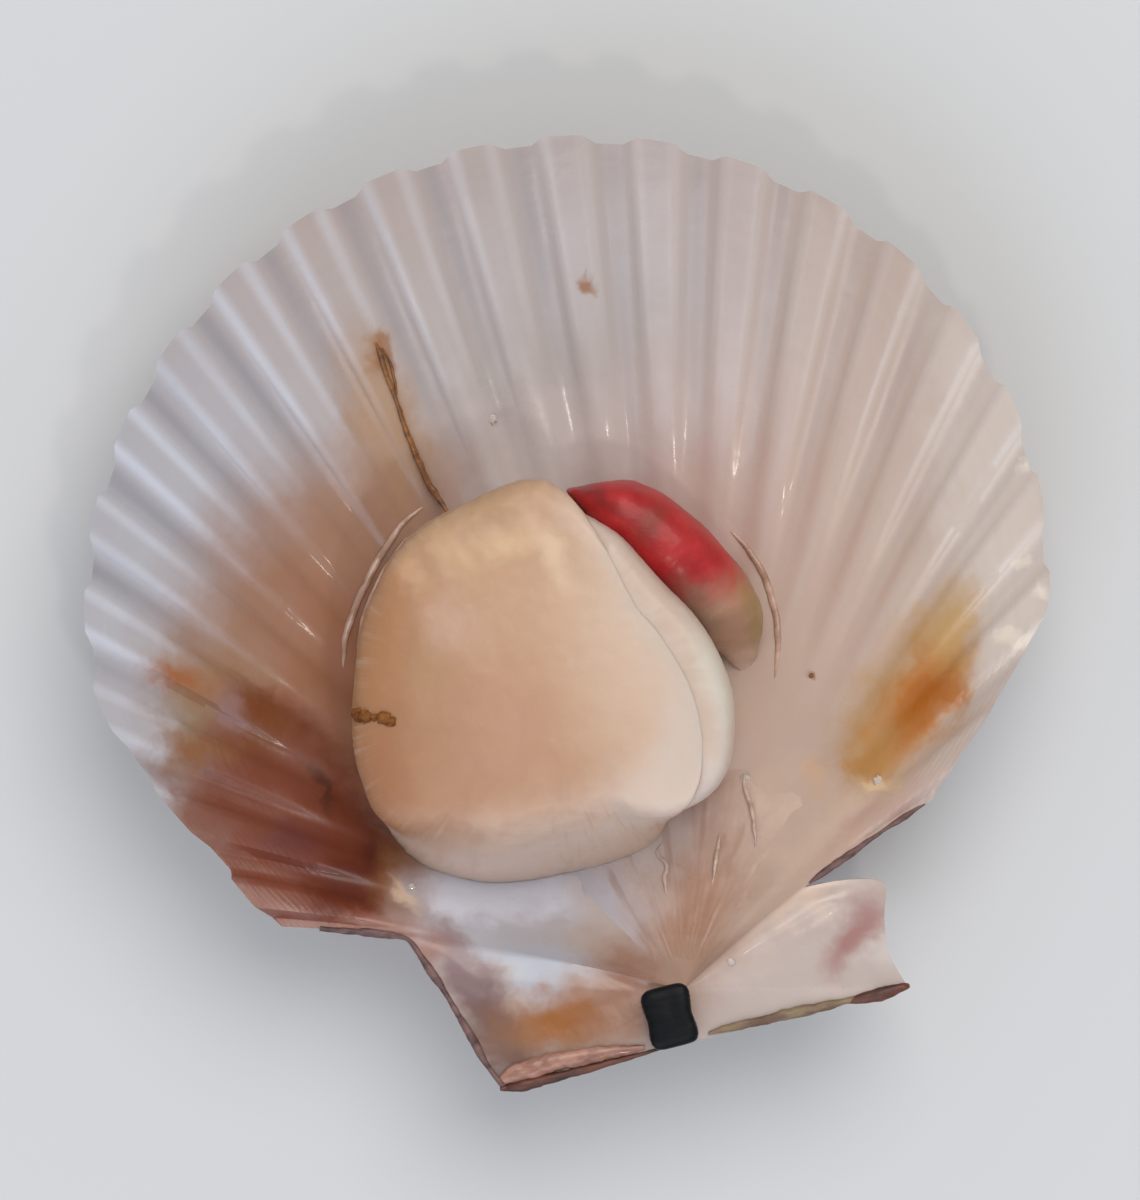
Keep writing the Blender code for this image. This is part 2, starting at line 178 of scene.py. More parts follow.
VALVE_STAINS_AND_PAINTED_LIGHT = (
    # Brown along the muscle's left: partly stain, partly painted shade beside the muscle.
    (-18.0, 29.0, 8.5, 11.0, -35.0, "996E53", 0.95, 0.55),
    (-16.5, 22.0, 4.5, 10.0, -4.0, "99664A", 0.9, 0.7),
    (-11.0, 35.6, 5.6, 3.6, 24.0, "9C745A", 0.8, 0.8),
    (-25.2, 26.2, 3.4, 3.8, 0.0, "967050", 0.85, 0.6),
    (-27.4, 17.6, 2.1, 6.0, 12.0, "835340", 0.95, 0.5),
    (-27.6, 25.4, 1.6, 2.2, -20.0, "8A7450", 0.5, 0.8),
    (-22.6, 17.6, 4.9, 8.4, 12.0, "7A402B", 1.0, 0.35),
    (-19.6, 13.4, 3.6, 4.6, 10.0, "75351C", 1.0, 0.45),
    (-23.2, 15.3, 2.0, 1.7, 0.0, "693735", 0.75, 0.7),
    (-23.0, 24.0, 2.1, 2.3, 0.0, "77401F", 1.0, 0.6),
    (-19.2, 12.2, 3.0, 1.9, -10.0, "5F230F", 1.0, 0.5),
    (-25.0, 12.8, 2.0, 3.2, 24.0, "7E4029", 0.95, 0.6),
    (-20.4, 18.8, 0.4, 1.5, 22.0, "4A2412", 0.8, 0.9),
    (-25.0, 25.2, 0.8, 1.5, -10.0, "8E6A66", 0.7, 0.7),
    (-27.2, 28.0, 1.9, 1.1, -35.0, "985A2A", 1.0, 0.8),
    (-27.7, 23.2, 2.2, 0.8, -16.0, "87562D", 0.95, 0.8),
    (-16.0, 10.8, 1.7, 2.8, 10.0, "8E5C34", 0.95, 0.7),
    # A small pale golden spot on the golden stain: a painted glint.
    (-16.0, 10.4, 0.4, 0.9, 10.0, "D3A868", 0.8, 0.8),
    (-18.4, 8.3, 4.6, 1.1, -20.0, "985F4B", 0.85, 0.7),
    # Bluish white patches on the left ear and shoulder are painted reflections; the grey band between them is
    # painted shade under the ear's ridge.
    (-9.4, 9.4, 6.0, 3.2, -6.0, "D2D5E2", 1.0, 0.5),
    (-8.6, 6.3, 3.6, 1.0, -14.0, "A6A2A6", 0.6, 0.8),
    (-9.4, 4.2, 4.0, 1.6, -32.0, "B2B6C1", 1.0, 0.8),
    (-13.4, 3.2, 1.2, 4.6, 14.0, "7E5D60", 0.8, 0.8),
    (-12.5, -0.4, 1.9, 3.2, 14.0, "633F34", 1.0, 0.7),
    (-10.2, -0.6, 4.6, 1.6, -10.0, "84604A", 0.6, 0.8),
    (-8.2, 0.1, 3.4, 1.8, -8.0, "95560F", 1.0, 0.8),
    (-3.4, 0.8, 2.8, 2.8, 0.0, "94664E", 0.9, 0.8),
    (3.6, 5.6, 2.6, 7.0, -34.0, "B5917C", 0.9, 0.7),
    (-1.5, 9.5, 4.0, 3.6, 0.0, "C6B8B2", 0.8, 0.8),
    (9.0, 9.5, 4.0, 3.0, 30.0, "CFB6A6", 0.8, 0.8),
    (11.0, 6.2, 8.5, 2.2, 33.0, "DCC2B0", 0.9, 0.7),
    (1.4, 1.2, 2.0, 2.0, 0.0, "A88672", 0.8, 0.9),
    (8.0, 0.2, 6.0, 2.2, 8.0, "B7A69E", 0.9, 0.6),
    (13.8, 0.6, 1.8, 2.0, 0.0, "CFC7BF", 0.7, 0.8),
    (12.2, 1.0, 2.7, 1.2, 42.0, "96605A", 0.9, 0.9),
    (19.2, 15.0, 6.6, 2.9, 44.0, "BB915F", 0.9, 0.6),
    (20.4, 14.8, 3.9, 1.8, 40.0, "B46D22", 0.95, 0.6),
    (20.9, 14.7, 2.0, 1.0, 36.0, "AC5F14", 0.8, 0.7),
    (15.8, 12.0, 1.8, 1.2, 28.0, "BA8440", 0.8, 0.7),
    (23.2, 19.0, 1.4, 2.8, -18.0, "BE9658", 0.75, 0.8),
    # Two cream spots on the floor: painted glints.
    (16.0, 10.3, 1.3, 0.5, -14.0, "E2C49C", 0.8, 0.7),
    (12.0, 11.4, 0.6, 1.1, -20.0, "D3B090", 0.7, 0.7),
    (15.0, 7.4, 4.5, 0.9, 22.0, "C39A8C", 0.5, 0.8),
    # Cream spots at the rib ends of the right rim: painted glints.
    (30.6, 28.2, 0.8, 0.5, 10.0, "EBE0D0", 0.8, 0.6),
    (29.2, 19.8, 0.7, 0.5, 10.0, "EBE0D0", 0.8, 0.6),
    (28.4, 22.2, 0.7, 0.4, 10.0, "E4D6C4", 0.7, 0.6),
    (27.0, 16.8, 0.7, 0.5, 10.0, "E8DAC8", 0.8, 0.6),
    (-10.2, 42.0, 2.0, 5.2, 4.0, "AC845E", 0.8, 0.8),
    (-9.4, 45.6, 0.8, 1.4, 10.0, "98601F", 0.8, 0.7),
    (5.2, 46.7, 0.9, 0.6, -30.0, "96602F", 0.9, 0.6),
    (13.5, 18.0, 0.25, 0.25, 0.0, "8A6252", 0.8, 0.7),
)
MUSCLE_TONES = (
    (-3.0, 26.0, 9.0, 9.0, 0.0, "C6A080", 0.8, 0.8),
    (-9.5, 19.0, 7.0, 5.0, 0.0, "BC9074", 0.7, 0.8),
    (3.5, 22.0, 5.0, 11.0, 0.0, "D3B8A1", 0.9, 0.8),
    (-3.0, 10.0, 11.0, 3.4, -4.0, "D0BBAD", 0.9, 0.9),
    (-12.4, 9.6, 5.0, 2.2, -24.0, "CFC3C0", 0.8, 0.9),
    (3.0, 12.4, 4.4, 3.0, 10.0, "DACABD", 0.7, 0.9),
    # The muscle's left side is darker: partly the brown film on it, partly painted shade on the side away
    # from the light.
    (-13.4, 22.0, 3.6, 8.0, -6.0, "AB7E5C", 0.7, 0.9),
    (-15.8, 20.0, 2.0, 6.0, -8.0, "A06C48", 0.8, 0.8),
    (-14.0, 27.5, 2.4, 6.0, -28.0, "AA7A52", 0.85, 0.7),
    (-7.0, 34.4, 7.0, 1.3, 8.0, "B4936F", 0.7, 0.8),
    (-10.5, 31.0, 0.7, 1.6, 20.0, "C8A27C", 0.6, 0.8),
    (-7.6, 31.4, 1.0, 1.8, 20.0, "CEAA84", 0.6, 0.8),
    (-4.2, 31.4, 1.8, 1.0, 0.0, "D6B690", 0.7, 0.8),
    (-1.4, 30.4, 0.7, 2.2, 14.0, "DEC2A4", 0.7, 0.8),
    (-11.0, 25.0, 1.6, 2.4, 0.0, "B08B66", 0.4, 0.8),
    (2.4, 30.0, 1.2, 4.0, 28.0, "D3BEAD", 0.8, 0.8),
    (4.6, 23.5, 2.0, 6.0, 10.0, "CFBBAB", 0.9, 0.9),
    (4.2, 16.0, 1.8, 4.0, -20.0, "D0BFB2", 0.8, 0.8),
    (-9.0, 27.0, 1.6, 1.6, 0.0, "C9A592", 0.6, 0.9),
)
FILM_TONES = (
    (-1.0, 10.0, 4.0, 3.4, 0.0, "CABEBA", 0.9, 0.8),
    (-5.2, 8.0, 2.4, 5.0, 30.0, "BEBAC2", 1.0, 0.6),
    (2.6, 5.0, 1.8, 4.5, -30.0, "AB826B", 0.8, 0.8),
    (6.6, 8.5, 1.8, 5.5, -40.0, "B4927E", 0.5, 0.9),
    (9.6, 11.6, 3.0, 5.5, -40.0, "CDB6A8", 1.0, 0.9),
    (12.5, 11.0, 4.0, 3.4, 40.0, "D9BFAE", 1.0, 0.6),
    (9.5, 6.4, 5.0, 1.6, 36.0, "DCC3B2", 1.0, 0.7),
    (-0.2, 1.6, 3.0, 1.4, 0.0, "A98873", 0.8, 0.8),
)
CATCH_TONES = (
    (1.0, 33.0, 3.0, 4.0, 20.0, "CFBDAE", 0.8, 0.8),
    (4.6, 25.5, 0.9, 5.0, 24.0, "C9B2A0", 0.8, 0.8),
    (5.7, 18.0, 0.9, 5.0, -10.0, "CAB4A4", 0.8, 0.8),
    (7.2, 19.5, 1.4, 3.6, 0.0, "D3D0C3", 0.7, 0.8),
    (3.5, 12.2, 4.0, 2.4, 20.0, "D8CBC2", 0.9, 0.8),
)
CORAL_TONES = (
    (5.4, 30.6, 1.5, 0.8, 40.0, "842A18", 0.8, 0.8),
    (2.4, 33.2, 2.6, 0.6, -48.0, "7E1A16", 0.7, 0.8),
    (9.8, 19.6, 5.4, 5.4, 0.0, "B08A72", 1.0, 0.4),
    (10.2, 18.6, 3.0, 2.2, 0.0, "C4A898", 0.9, 0.7),
    (10.8, 23.2, 0.8, 2.8, -4.0, "98804E", 0.8, 0.8),
    # A dark grey-brown patch in the gap between the coral and the catch band: painted shadow.
    (7.2, 24.4, 0.9, 1.9, 22.0, "84705F", 0.7, 0.8),
)


def smooth_step(low, high, value):
    share = min(max((value - low) / (high - low), 0.0), 1.0)
    return share * share * (3.0 - 2.0 * share)


def spline(values, position):
    """A smooth value at this position along a row of numbers or vectors, one apart."""
    last = len(values) - 1
    index = min(int(position), last - 1)
    share = position - index
    before = values[max(index - 1, 0)]
    start, end = values[index], values[index + 1]
    after = values[min(index + 2, last)]
    return 0.5 * (
        2.0 * start
        + (end - before) * share
        + (2.0 * before - 5.0 * start + 4.0 * end - after) * share**2
        + (3.0 * start - before - 3.0 * end + after) * share**3
    )


def in_frame(x, y, z=0.0):
    """A place counted from the umbo, as a place in the frame."""
    return Vector((UMBO.x + x, UMBO.y + y, z))


# ---------------------------------------------------------------- the valve's rule


def ray_angle(start_angle, reach):
    """The direction of a rib's line, in degrees from +Y: the side ribs curve outwards."""
    lean = (start_angle / SHOULDER_ANGLE) ** 2
    return start_angle * (1.0 + RAY_BEND * lean * (reach - 0.5))


def margin_radius(angle):
    """How far the margin is from the umbo: an ellipse, drawn in at both shoulders."""
    direction = Vector((math.sin(math.radians(angle)), math.cos(math.radians(angle))))
    scaled = Vector((direction.x / DISC_HALF_WIDTH, direction.y / DISC_HALF_HEIGHT))
    centre = Vector((DISC_CENTRE.x / DISC_HALF_WIDTH, DISC_CENTRE.y / DISC_HALF_HEIGHT))
    along = scaled.dot(centre)
    root = math.sqrt(along**2 - scaled.length_squared * (centre.length_squared - 1.0))
    low, high, share = LEFT_SHOULDER_PINCH if angle < 0 else RIGHT_SHOULDER_PINCH
    pinch = share * smooth_step(low, high, abs(angle))
    return (along + root) / scaled.length_squared * (1.0 - pinch)


def cup_depth(start_angle, reach):
    """Depth of the valve's inner face under the rim plane, before the ribs."""
    side = DEEPEST_REACH if reach < DEEPEST_REACH else 1.0 - DEEPEST_REACH
    along = 1.0 - abs((reach - DEEPEST_REACH) / side) ** CUP_ROUNDNESS
    turned = min(abs(start_angle) / SHOULDER_ANGLE, 1.0)
    across = 1.0 - (1.0 - SHOULDER_SHARE) * turned**SIDE_ROUNDNESS
    return CUP_DEPTH * along * across


def wall_at(reach):
    """The wall is thick at the umbo and thin at the rim."""
    thick = (WALL_AT_UMBO - WALL) * (1.0 - smooth_step(0.0, 0.3, reach))
    thin = (WALL - WALL_AT_RIM) * smooth_step(0.7, 1.0, reach)
    return WALL + thick - thin


def floor_z(x, y):
    """Height of the inner face at a plan position counted from the umbo."""
    distance = math.hypot(x, y)
    angle = math.degrees(math.atan2(x, y))
    start_angle = angle
    reach = 0.5
    for _ in range(FLOOR_PASSES):
        reach = min(distance / margin_radius(ray_angle(start_angle, 1.0)), 1.0)
        lean = (start_angle / SHOULDER_ANGLE) ** 2
        start_angle = angle / (1.0 + RAY_BEND * lean * (reach - 0.5))
    return RIM_Z - cup_depth(start_angle, reach)


def disc_place(start_angle, reach):
    """A point of the smooth cup, before the ribs."""
    angle = math.radians(ray_angle(start_angle, reach))
    radius = reach * margin_radius(ray_angle(start_angle, 1.0))
    return Vector((radius * math.sin(angle), radius * math.cos(angle)))


def notch_power(start_angle):
    """How a row's share becomes its reach: the ears' last row meets the notch on either side."""
    turned = 0.5 + 0.5 * start_angle / SHOULDER_ANGLE
    notch = LEFT_NOTCH_REACH + (RIGHT_NOTCH_REACH - LEFT_NOTCH_REACH) * turned
    return math.log(notch) / math.log(EAR_ROW_SHARE)


def ear_edge(side, along):
    """The ear's edge at -1 (the notch), 0 to 4 (its free margin) and on to 10 (under the umbo)."""
    margin = LEFT_EAR_MARGIN if side < 0 else RIGHT_EAR_MARGIN
    notch = disc_place(side * SHOULDER_ANGLE, EAR_ROW_SHARE ** notch_power(side * SHOULDER_ANGLE))
    points = [notch] + [Vector((x * MM, y * MM)) for x, y in margin]
    corner = len(margin) - 1
    if along <= corner:
        return spline(points, along + 1.0)
    return points[-1].lerp(Vector((0.0, HINGE_Y)), (along - corner) / HINGE_STEPS)


def ear_place(side, along, share):
    """A point of an ear at a share of the way out: its shelf joins the shoulder and flattens to the hinge."""
    shoulder = side * SHOULDER_ANGLE
    power = notch_power(shoulder)
    reach = (share * EAR_ROW_SHARE) ** power
    blend = smooth_step(-1.0, 1.0, along)
    plan = ear_edge(side, along) * share ** (power + (1.0 - power) * blend)
    plan += (disc_place(shoulder, reach) - ear_edge(side, -1.0) * share**power) * (1.0 - blend)
    steps = len(LEFT_EAR_MARGIN) + HINGE_STEPS
    sink = cup_depth(shoulder, reach) * (1.0 - (along + 1.0) / steps) ** 2
    ridge = EAR_RIDGE_HEIGHT * math.exp(-(((along - 0.2) / 0.9) ** 2)) * smooth_step(0.1, 0.6, share)
    ridge *= 1.0 - smooth_step(0.8, 1.0, share)
    return Vector((plan.x, plan.y, RIM_Z - sink + ridge)), reach


def valve_columns():
    """The grid's columns, clockwise seen from above: left ear, the disc's rays, right ear."""
    steps = len(LEFT_EAR_MARGIN) + HINGE_STEPS
    places = [-1.0 + (index + 1) / EAR_COLUMNS_PER_STEP for index in range(steps * EAR_COLUMNS_PER_STEP)]
    count = (2 * RIBS_EACH_SIDE + 1) * COLUMNS_PER_RIB
    columns = [(-1, along) for along in reversed(places)]
    columns += [(0, SHOULDER_ANGLE * (2.0 * index / count - 1.0)) for index in range(count + 1)]
    columns += [(1, along) for along in places]
    return columns


def valve_source():
    """The smooth inner face of the valve, which carries what the node tree needs to rib and thicken it."""
    columns = valve_columns()
    mesh = bmesh.new()
    layers = float_layers(mesh, "ray", "reach", "drop", "ear")
    bmesh.ops.create_grid(mesh, x_segments=len(columns) - 1, y_segments=ROWS, size=0.5)
    steps = len(LEFT_EAR_MARGIN) + HINGE_STEPS
    unwanted = []
    for vertex in mesh.verts:
        side, place = columns[round((vertex.co.x + 0.5) * (len(columns) - 1))]
        row = round((vertex.co.y + 0.5) * ROWS) / ROWS
        if side == 0:
            reach = row ** notch_power(place)
            plan = disc_place(place, reach)
            point = Vector((plan.x, plan.y, RIM_Z - (cup_depth(place, reach) if row > 0.0 else 0.0)))
        elif row > EAR_ROW_SHARE + 1e-6:
            unwanted.append(vertex)
            continue
        else:
            point, reach = ear_place(side, place, row / EAR_ROW_SHARE)
        vertex.co = in_frame(*point)
        vertex[layers["ray"]] = place / RIB_PITCH if side == 0 else side * (RIBS_EACH_SIDE + 0.5)
        vertex[layers["reach"]] = reach
        vertex[layers["drop"]] = wall_at(reach)
        vertex[layers["ear"]] = 0.0 if side == 0 else (place + 1.0) / steps
    bmesh.ops.delete(mesh, geom=unwanted, context="VERTS")
    bmesh.ops.remove_doubles(mesh, verts=mesh.verts, dist=0.01 * MM)
    mesh.normal_update()
    if sum(face.normal.z for face in mesh.faces) < 0.0:
        bmesh.ops.reverse_faces(mesh, faces=mesh.faces)
        mesh.normal_update()
    for vertex in mesh.verts:
        vertex[layers["drop"]] /= max(abs(vertex.normal.z), STEEPEST_WALL)
    return mesh


# ---------------------------------------------------------------- node helpers


def colour(code):
    """A sRGB hex colour as linear red, green, blue and alpha."""
    shares = [int(code[start : start + 2], 16) / 255 for start in (0, 2, 4)]
    linear = [share / 12.92 if share <= 0.04045 else ((share + 0.055) / 1.055) ** 2.4 for share in shares]
    return (*linear, 1.0)


def socket_of(sockets, key):
    """The socket of this index, or the one of this name that is in use."""
    if isinstance(key, int):
        return sockets[key]
    return next(socket for socket in sockets if socket.name == key and socket.enabled)


def connect(node, inputs):
    """Gives each input its value, or links it to a socket or to a node's first output in use."""
    for key, value in inputs.items():
        if isinstance(value, bpy.types.Node):
            value = next(output for output in value.outputs if output.enabled)
        socket = socket_of(node.inputs, key)
        if isinstance(value, bpy.types.NodeSocket):
            node.id_data.links.new(value, socket)
        else:
            socket.default_value = value


def add_node(tree, kind, inputs=None, **settings):
    """Adds a node with its settings and links."""
    node = tree.nodes.new(kind)
    for name, value in settings.items():
        setattr(node, name, value)
    connect(node, inputs or {})
    return node


def new_tree(name, **sockets):
    """A geometry node tree with named inputs beside its geometry: the tree, its adder and its inputs."""
    tree = bpy.data.node_groups.new(name, "GeometryNodeTree")
    tree.interface.new_socket("Geometry", in_out="INPUT", socket_type="NodeSocketGeometry")
    for kind, labels in sockets.items():
        for label in labels:
            tree.interface.new_socket(label, in_out="INPUT", socket_type="NodeSocket" + kind)
    tree.interface.new_socket("Geometry", in_out="OUTPUT", socket_type="NodeSocketGeometry")
    add = partial(add_node, tree)
    return tree, add, add("NodeGroupInput").outputs


def close_tree(add, geometry, material):
    """The end of every tree: shaded smooth, what is instanced becomes real, and it takes its material."""
    smooth = add("GeometryNodeSetShadeSmooth", {"Geometry": geometry})
    real = add("GeometryNodeRealizeInstances", {"Geometry": smooth})
    return add("GeometryNodeSetMaterial", {"Geometry": real, "Material": material})


def run_tree(name, source, tree, values):
    """Runs a node tree on a source mesh, and returns its result as a plain object."""
    data = bpy.data.meshes.new(name + "_source")
    source.to_mesh(data)
    source.free()
    holder = bpy.data.objects.new(name + "_source", data)
    bpy.context.scene.collection.objects.link(holder)
    modifier = holder.modifiers.new(tree.name, "NODES")
    modifier.node_group = tree
    sockets = {item.name: item.identifier for item in tree.interface.items_tree if item.in_out == "INPUT"}
    for label, value in values.items():
        modifier[sockets[label]] = value
    graph = bpy.context.evaluated_depsgraph_get()
    mesh = bpy.data.meshes.new_from_object(holder.evaluated_get(graph), depsgraph=graph)
    holder.modifiers.remove(modifier)
    bpy.data.objects.remove(holder)
    if not mesh.polygons:
        raise RuntimeError(f"{name}: the node tree gave no faces")
    mesh.name = name
    return add_object(name, mesh)


def float_layers(mesh, *names):
    """Float layers on a mesh's vertices, which the node trees and the materials read by name."""
    return {name: mesh.verts.layers.float.new(name) for name in names}


def mark(vertex, layers, **values):
    for name, value in values.items():
        vertex[layers[name]] = value


def add_object(name, mesh):
    piece = bpy.data.objects.new(name, mesh)
    bpy.context.scene.collection.objects.link(piece)
    return piece


def add_mesh_object(name, mesh, material):
    """A piece from its bmesh, shaded smooth."""
    data = bpy.data.meshes.new(name)
    mesh.to_mesh(data)
    mesh.free()
    data.materials.append(material)
    data.shade_smooth()
    return add_object(name, data)


def hand_over(piece, slot, *nodes):
    """A finished piece rides on the root body and may stand for nodes of the frame, which it hides; its slot
    is not used.
    """
    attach(piece, "root")
    if nodes:
        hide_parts(*nodes)


# ---------------------------------------------------------------- node trees

# Inputs that the trees share with the pieces' settings.
VALVE_SIZES = (
    "Rib Height", "Rim Scallop", "Outside Rib Height", "Growth Line Count", "Growth Line Depth", "Unevenness"
)
FLESH_SIZES = ("Lump Size", "Lump Height", "Fibre Spacing", "Fibre Height", "Grain Size", "Grain Height")


def across_rib(add, ray):
    """A count that steps in each groove, and the place across a rib: 0 on its crest, 0.5 in a groove."""
    half_on = add("ShaderNodeMath", {0: ray, 1: 0.5}, operation="ADD")
    part = add("ShaderNodeMath", {0: half_on}, operation="FRACT")
    centred = add("ShaderNodeMath", {0: part, 1: 0.5}, operation="SUBTRACT")
    return half_on, add("ShaderNodeMath", {0: centred}, operation="ABSOLUTE")


def valve_tree():
    """Ribs, growth lines and a wall for the smooth inner face: reach runs from the umbo to the margin."""
    materials = ("Inside Material", "Outside Material")
    tree, add, given = new_tree("ribbed_valve", Float=VALVE_SIZES, Vector=("Umbo",), Material=materials)
    ray, reach, drop, ear = (
        add("GeometryNodeInputNamedAttribute", {"Name": name}, data_type="FLOAT")
        for name in ("ray", "reach", "drop", "ear")
    )
    position = add("GeometryNodeInputPosition")
    on_disc = add("ShaderNodeMapRange", {"Value": ear, "From Max": 0.08, "To Min": 1.0, "To Max": 0.0})

    half_on, phase = across_rib(add, ray)

    # Crisp flat-topped ribs at the margin and outside, and a soft wave further in.
    crisp = add("ShaderNodeMapRange", {
        "Value": phase, "From Min": 0.2, "From Max": 0.36, "To Min": 1.0, "To Max": -1.0,
    }, **SMOOTH)
    wave_turn = add("ShaderNodeMath", {0: phase, 1: math.tau}, operation="MULTIPLY")
    wave = add("ShaderNodeMath", {0: wave_turn}, operation="COSINE")
    profile = add("ShaderNodeMapRange", {
        "Value": reach, "From Min": 0.55, "From Max": 0.85, "To Min": wave, "To Max": crisp,
    })

    # Each rib is a little stronger or weaker than the next, and none is quite straight.
    rib_number = add("ShaderNodeMath", {0: half_on}, operation="FLOOR")
    apart = add("ShaderNodeCombineXYZ", {"X": rib_number, "Y": reach})
    uneven = add("ShaderNodeTexNoise", {"Vector": apart, "Scale": 2.3})
    strength = add("ShaderNodeMapRange", {
        "Value": uneven, "From Min": 0.3, "From Max": 0.7, "To Min": 0.7, "To Max": 1.25,
    })
    growing = add("ShaderNodeMapRange", {"Value": reach, "From Min": RIBS_GROW_FROM}, **SMOOTH)
    half_height = add("ShaderNodeMath", {0: given["Rib Height"], 1: 0.5}, operation="MULTIPLY")
    rib = profile
    for factor in (half_height, strength, growing, on_disc):
        rib = add("ShaderNodeMath", {0: rib, 1: factor}, operation="MULTIPLY")

    # Growth lines follow the margin.
    waver = add("ShaderNodeTexNoise", {"Vector": position, "Scale": 160.0})
    wavered = add("ShaderNodeMath", {0: waver, 1: 0.05, 2: reach}, operation="MULTIPLY_ADD")
    line_turn = add("ShaderNodeMath", {0: given["Growth Line Count"], 1: math.tau}, operation="MULTIPLY")
    line_turn = add("ShaderNodeMath", {0: wavered, 1: line_turn}, operation="MULTIPLY")
    line = add("ShaderNodeMath", {0: line_turn}, operation="SINE")
    lines_from = add(
        "ShaderNodeMapRange", {"Value": reach, "From Min": 0.45, "From Max": 0.95, "To Min": 0.15}
    )
    for factor in (given["Growth Line Depth"], lines_from):
        line = add("ShaderNodeMath", {0: line, 1: factor}, operation="MULTIPLY")

    # The whole face swells and sinks a little.
    swell = add("ShaderNodeTexNoise", {"Vector": position, "Scale": 120.0, "Detail": 3.0})
    swell = add("ShaderNodeMath", {0: swell, 1: 0.5}, operation="SUBTRACT")
    swell = add("ShaderNodeMath", {0: swell, 1: given["Unevenness"]}, operation="MULTIPLY")
    lift = rib
    for part in (line, swell):
        lift = add("ShaderNodeMath", {0: lift, 1: part}, operation="ADD")

    # At the margin the ribs stand out in plan too.
    outwards = add("ShaderNodeVectorMath", {0: position, 1: given["Umbo"]}, operation="SUBTRACT")
    level = add("ShaderNodeVectorMath", {0: outwards, 1: (1.0, 1.0, 0.0)}, operation="MULTIPLY")
    outwards = add("ShaderNodeVectorMath", {0: level}, operation="NORMALIZE")
    near_rim = add("ShaderNodeMapRange", {"Value": reach, "From Min": 0.8}, **SMOOTH)
    reach_out = profile
    for factor in (given["Rim Scallop"], near_rim, on_disc):
        reach_out = add("ShaderNodeMath", {0: reach_out, 1: factor}, operation="MULTIPLY")
    scallop = add("ShaderNodeVectorMath", {0: outwards, "Scale": reach_out}, operation="SCALE")
    upwards = add("ShaderNodeCombineXYZ", {"Z": lift})
    shift = add("ShaderNodeVectorMath", {0: scallop, 1: upwards}, operation="ADD")
    inner = add("GeometryNodeSetPosition", {"Geometry": given["Geometry"], "Offset": shift})

    # The outer face is a lowered copy, with crisp ribs from the umbo on. It is cut level where it rests.
    groove = add("ShaderNodeMapRange", {"Value": crisp, "From Min": -1.0, "To Min": 1.0, "To Max": 0.0})
    outside_from = add("ShaderNodeMapRange", {"Value": reach, "From Max": 0.3}, **SMOOTH)
    outside_to = add("ShaderNodeMath", {0: 1.0, 1: growing}, operation="SUBTRACT")
    outside = groove
    for factor in (given["Outside Rib Height"], outside_from, outside_to, on_disc):
        outside = add("ShaderNodeMath", {0: outside, 1: factor}, operation="MULTIPLY")
    deeper = add("ShaderNodeMath", {0: outside, 1: drop}, operation="ADD")
    down = add("ShaderNodeMath", {0: deeper, 1: -1.0}, operation="MULTIPLY")
    down = add("ShaderNodeCombineXYZ", {"Z": down})
    extruded = add("GeometryNodeExtrudeMesh", {
        "Mesh": inner, "Offset": (0.0, 0.0, -1.0), "Offset Scale": 0.0, "Individual": False,
    }, mode="FACES")
    lowered = add("GeometryNodeSetPosition", {
        "Geometry": extruded.outputs["Mesh"], "Selection": extruded.outputs["Top"], "Offset": down,
    })
    apart = add("ShaderNodeSeparateXYZ", {"Vector": position})
    above = add("ShaderNodeMath", {0: apart.outputs["Z"], 1: 0.0}, operation="MAXIMUM")
    level = add("ShaderNodeCombineXYZ", {"X": apart.outputs["X"], "Y": apart.outputs["Y"], "Z": above})
    rested = add("GeometryNodeSetPosition", {"Geometry": lowered, "Position": level})
    outer = add("GeometryNodeFlipFaces", {"Mesh": rested})
    both = add("GeometryNodeJoinGeometry")
    tree.links.new(inner.outputs[0], both.inputs[0])
    tree.links.new(outer.outputs[0], both.inputs[0])
    welded = add("GeometryNodeMergeByDistance", {"Geometry": both, "Distance": 0.001 * MM})
    glazed = close_tree(add, welded, given["Inside Material"])
    painted = add("GeometryNodeSetMaterial", {
        "Geometry": glazed, "Selection": extruded.outputs["Top"], "Material": given["Outside Material"],
    })
    add("NodeGroupOutput", {"Geometry": painted})
    return tree


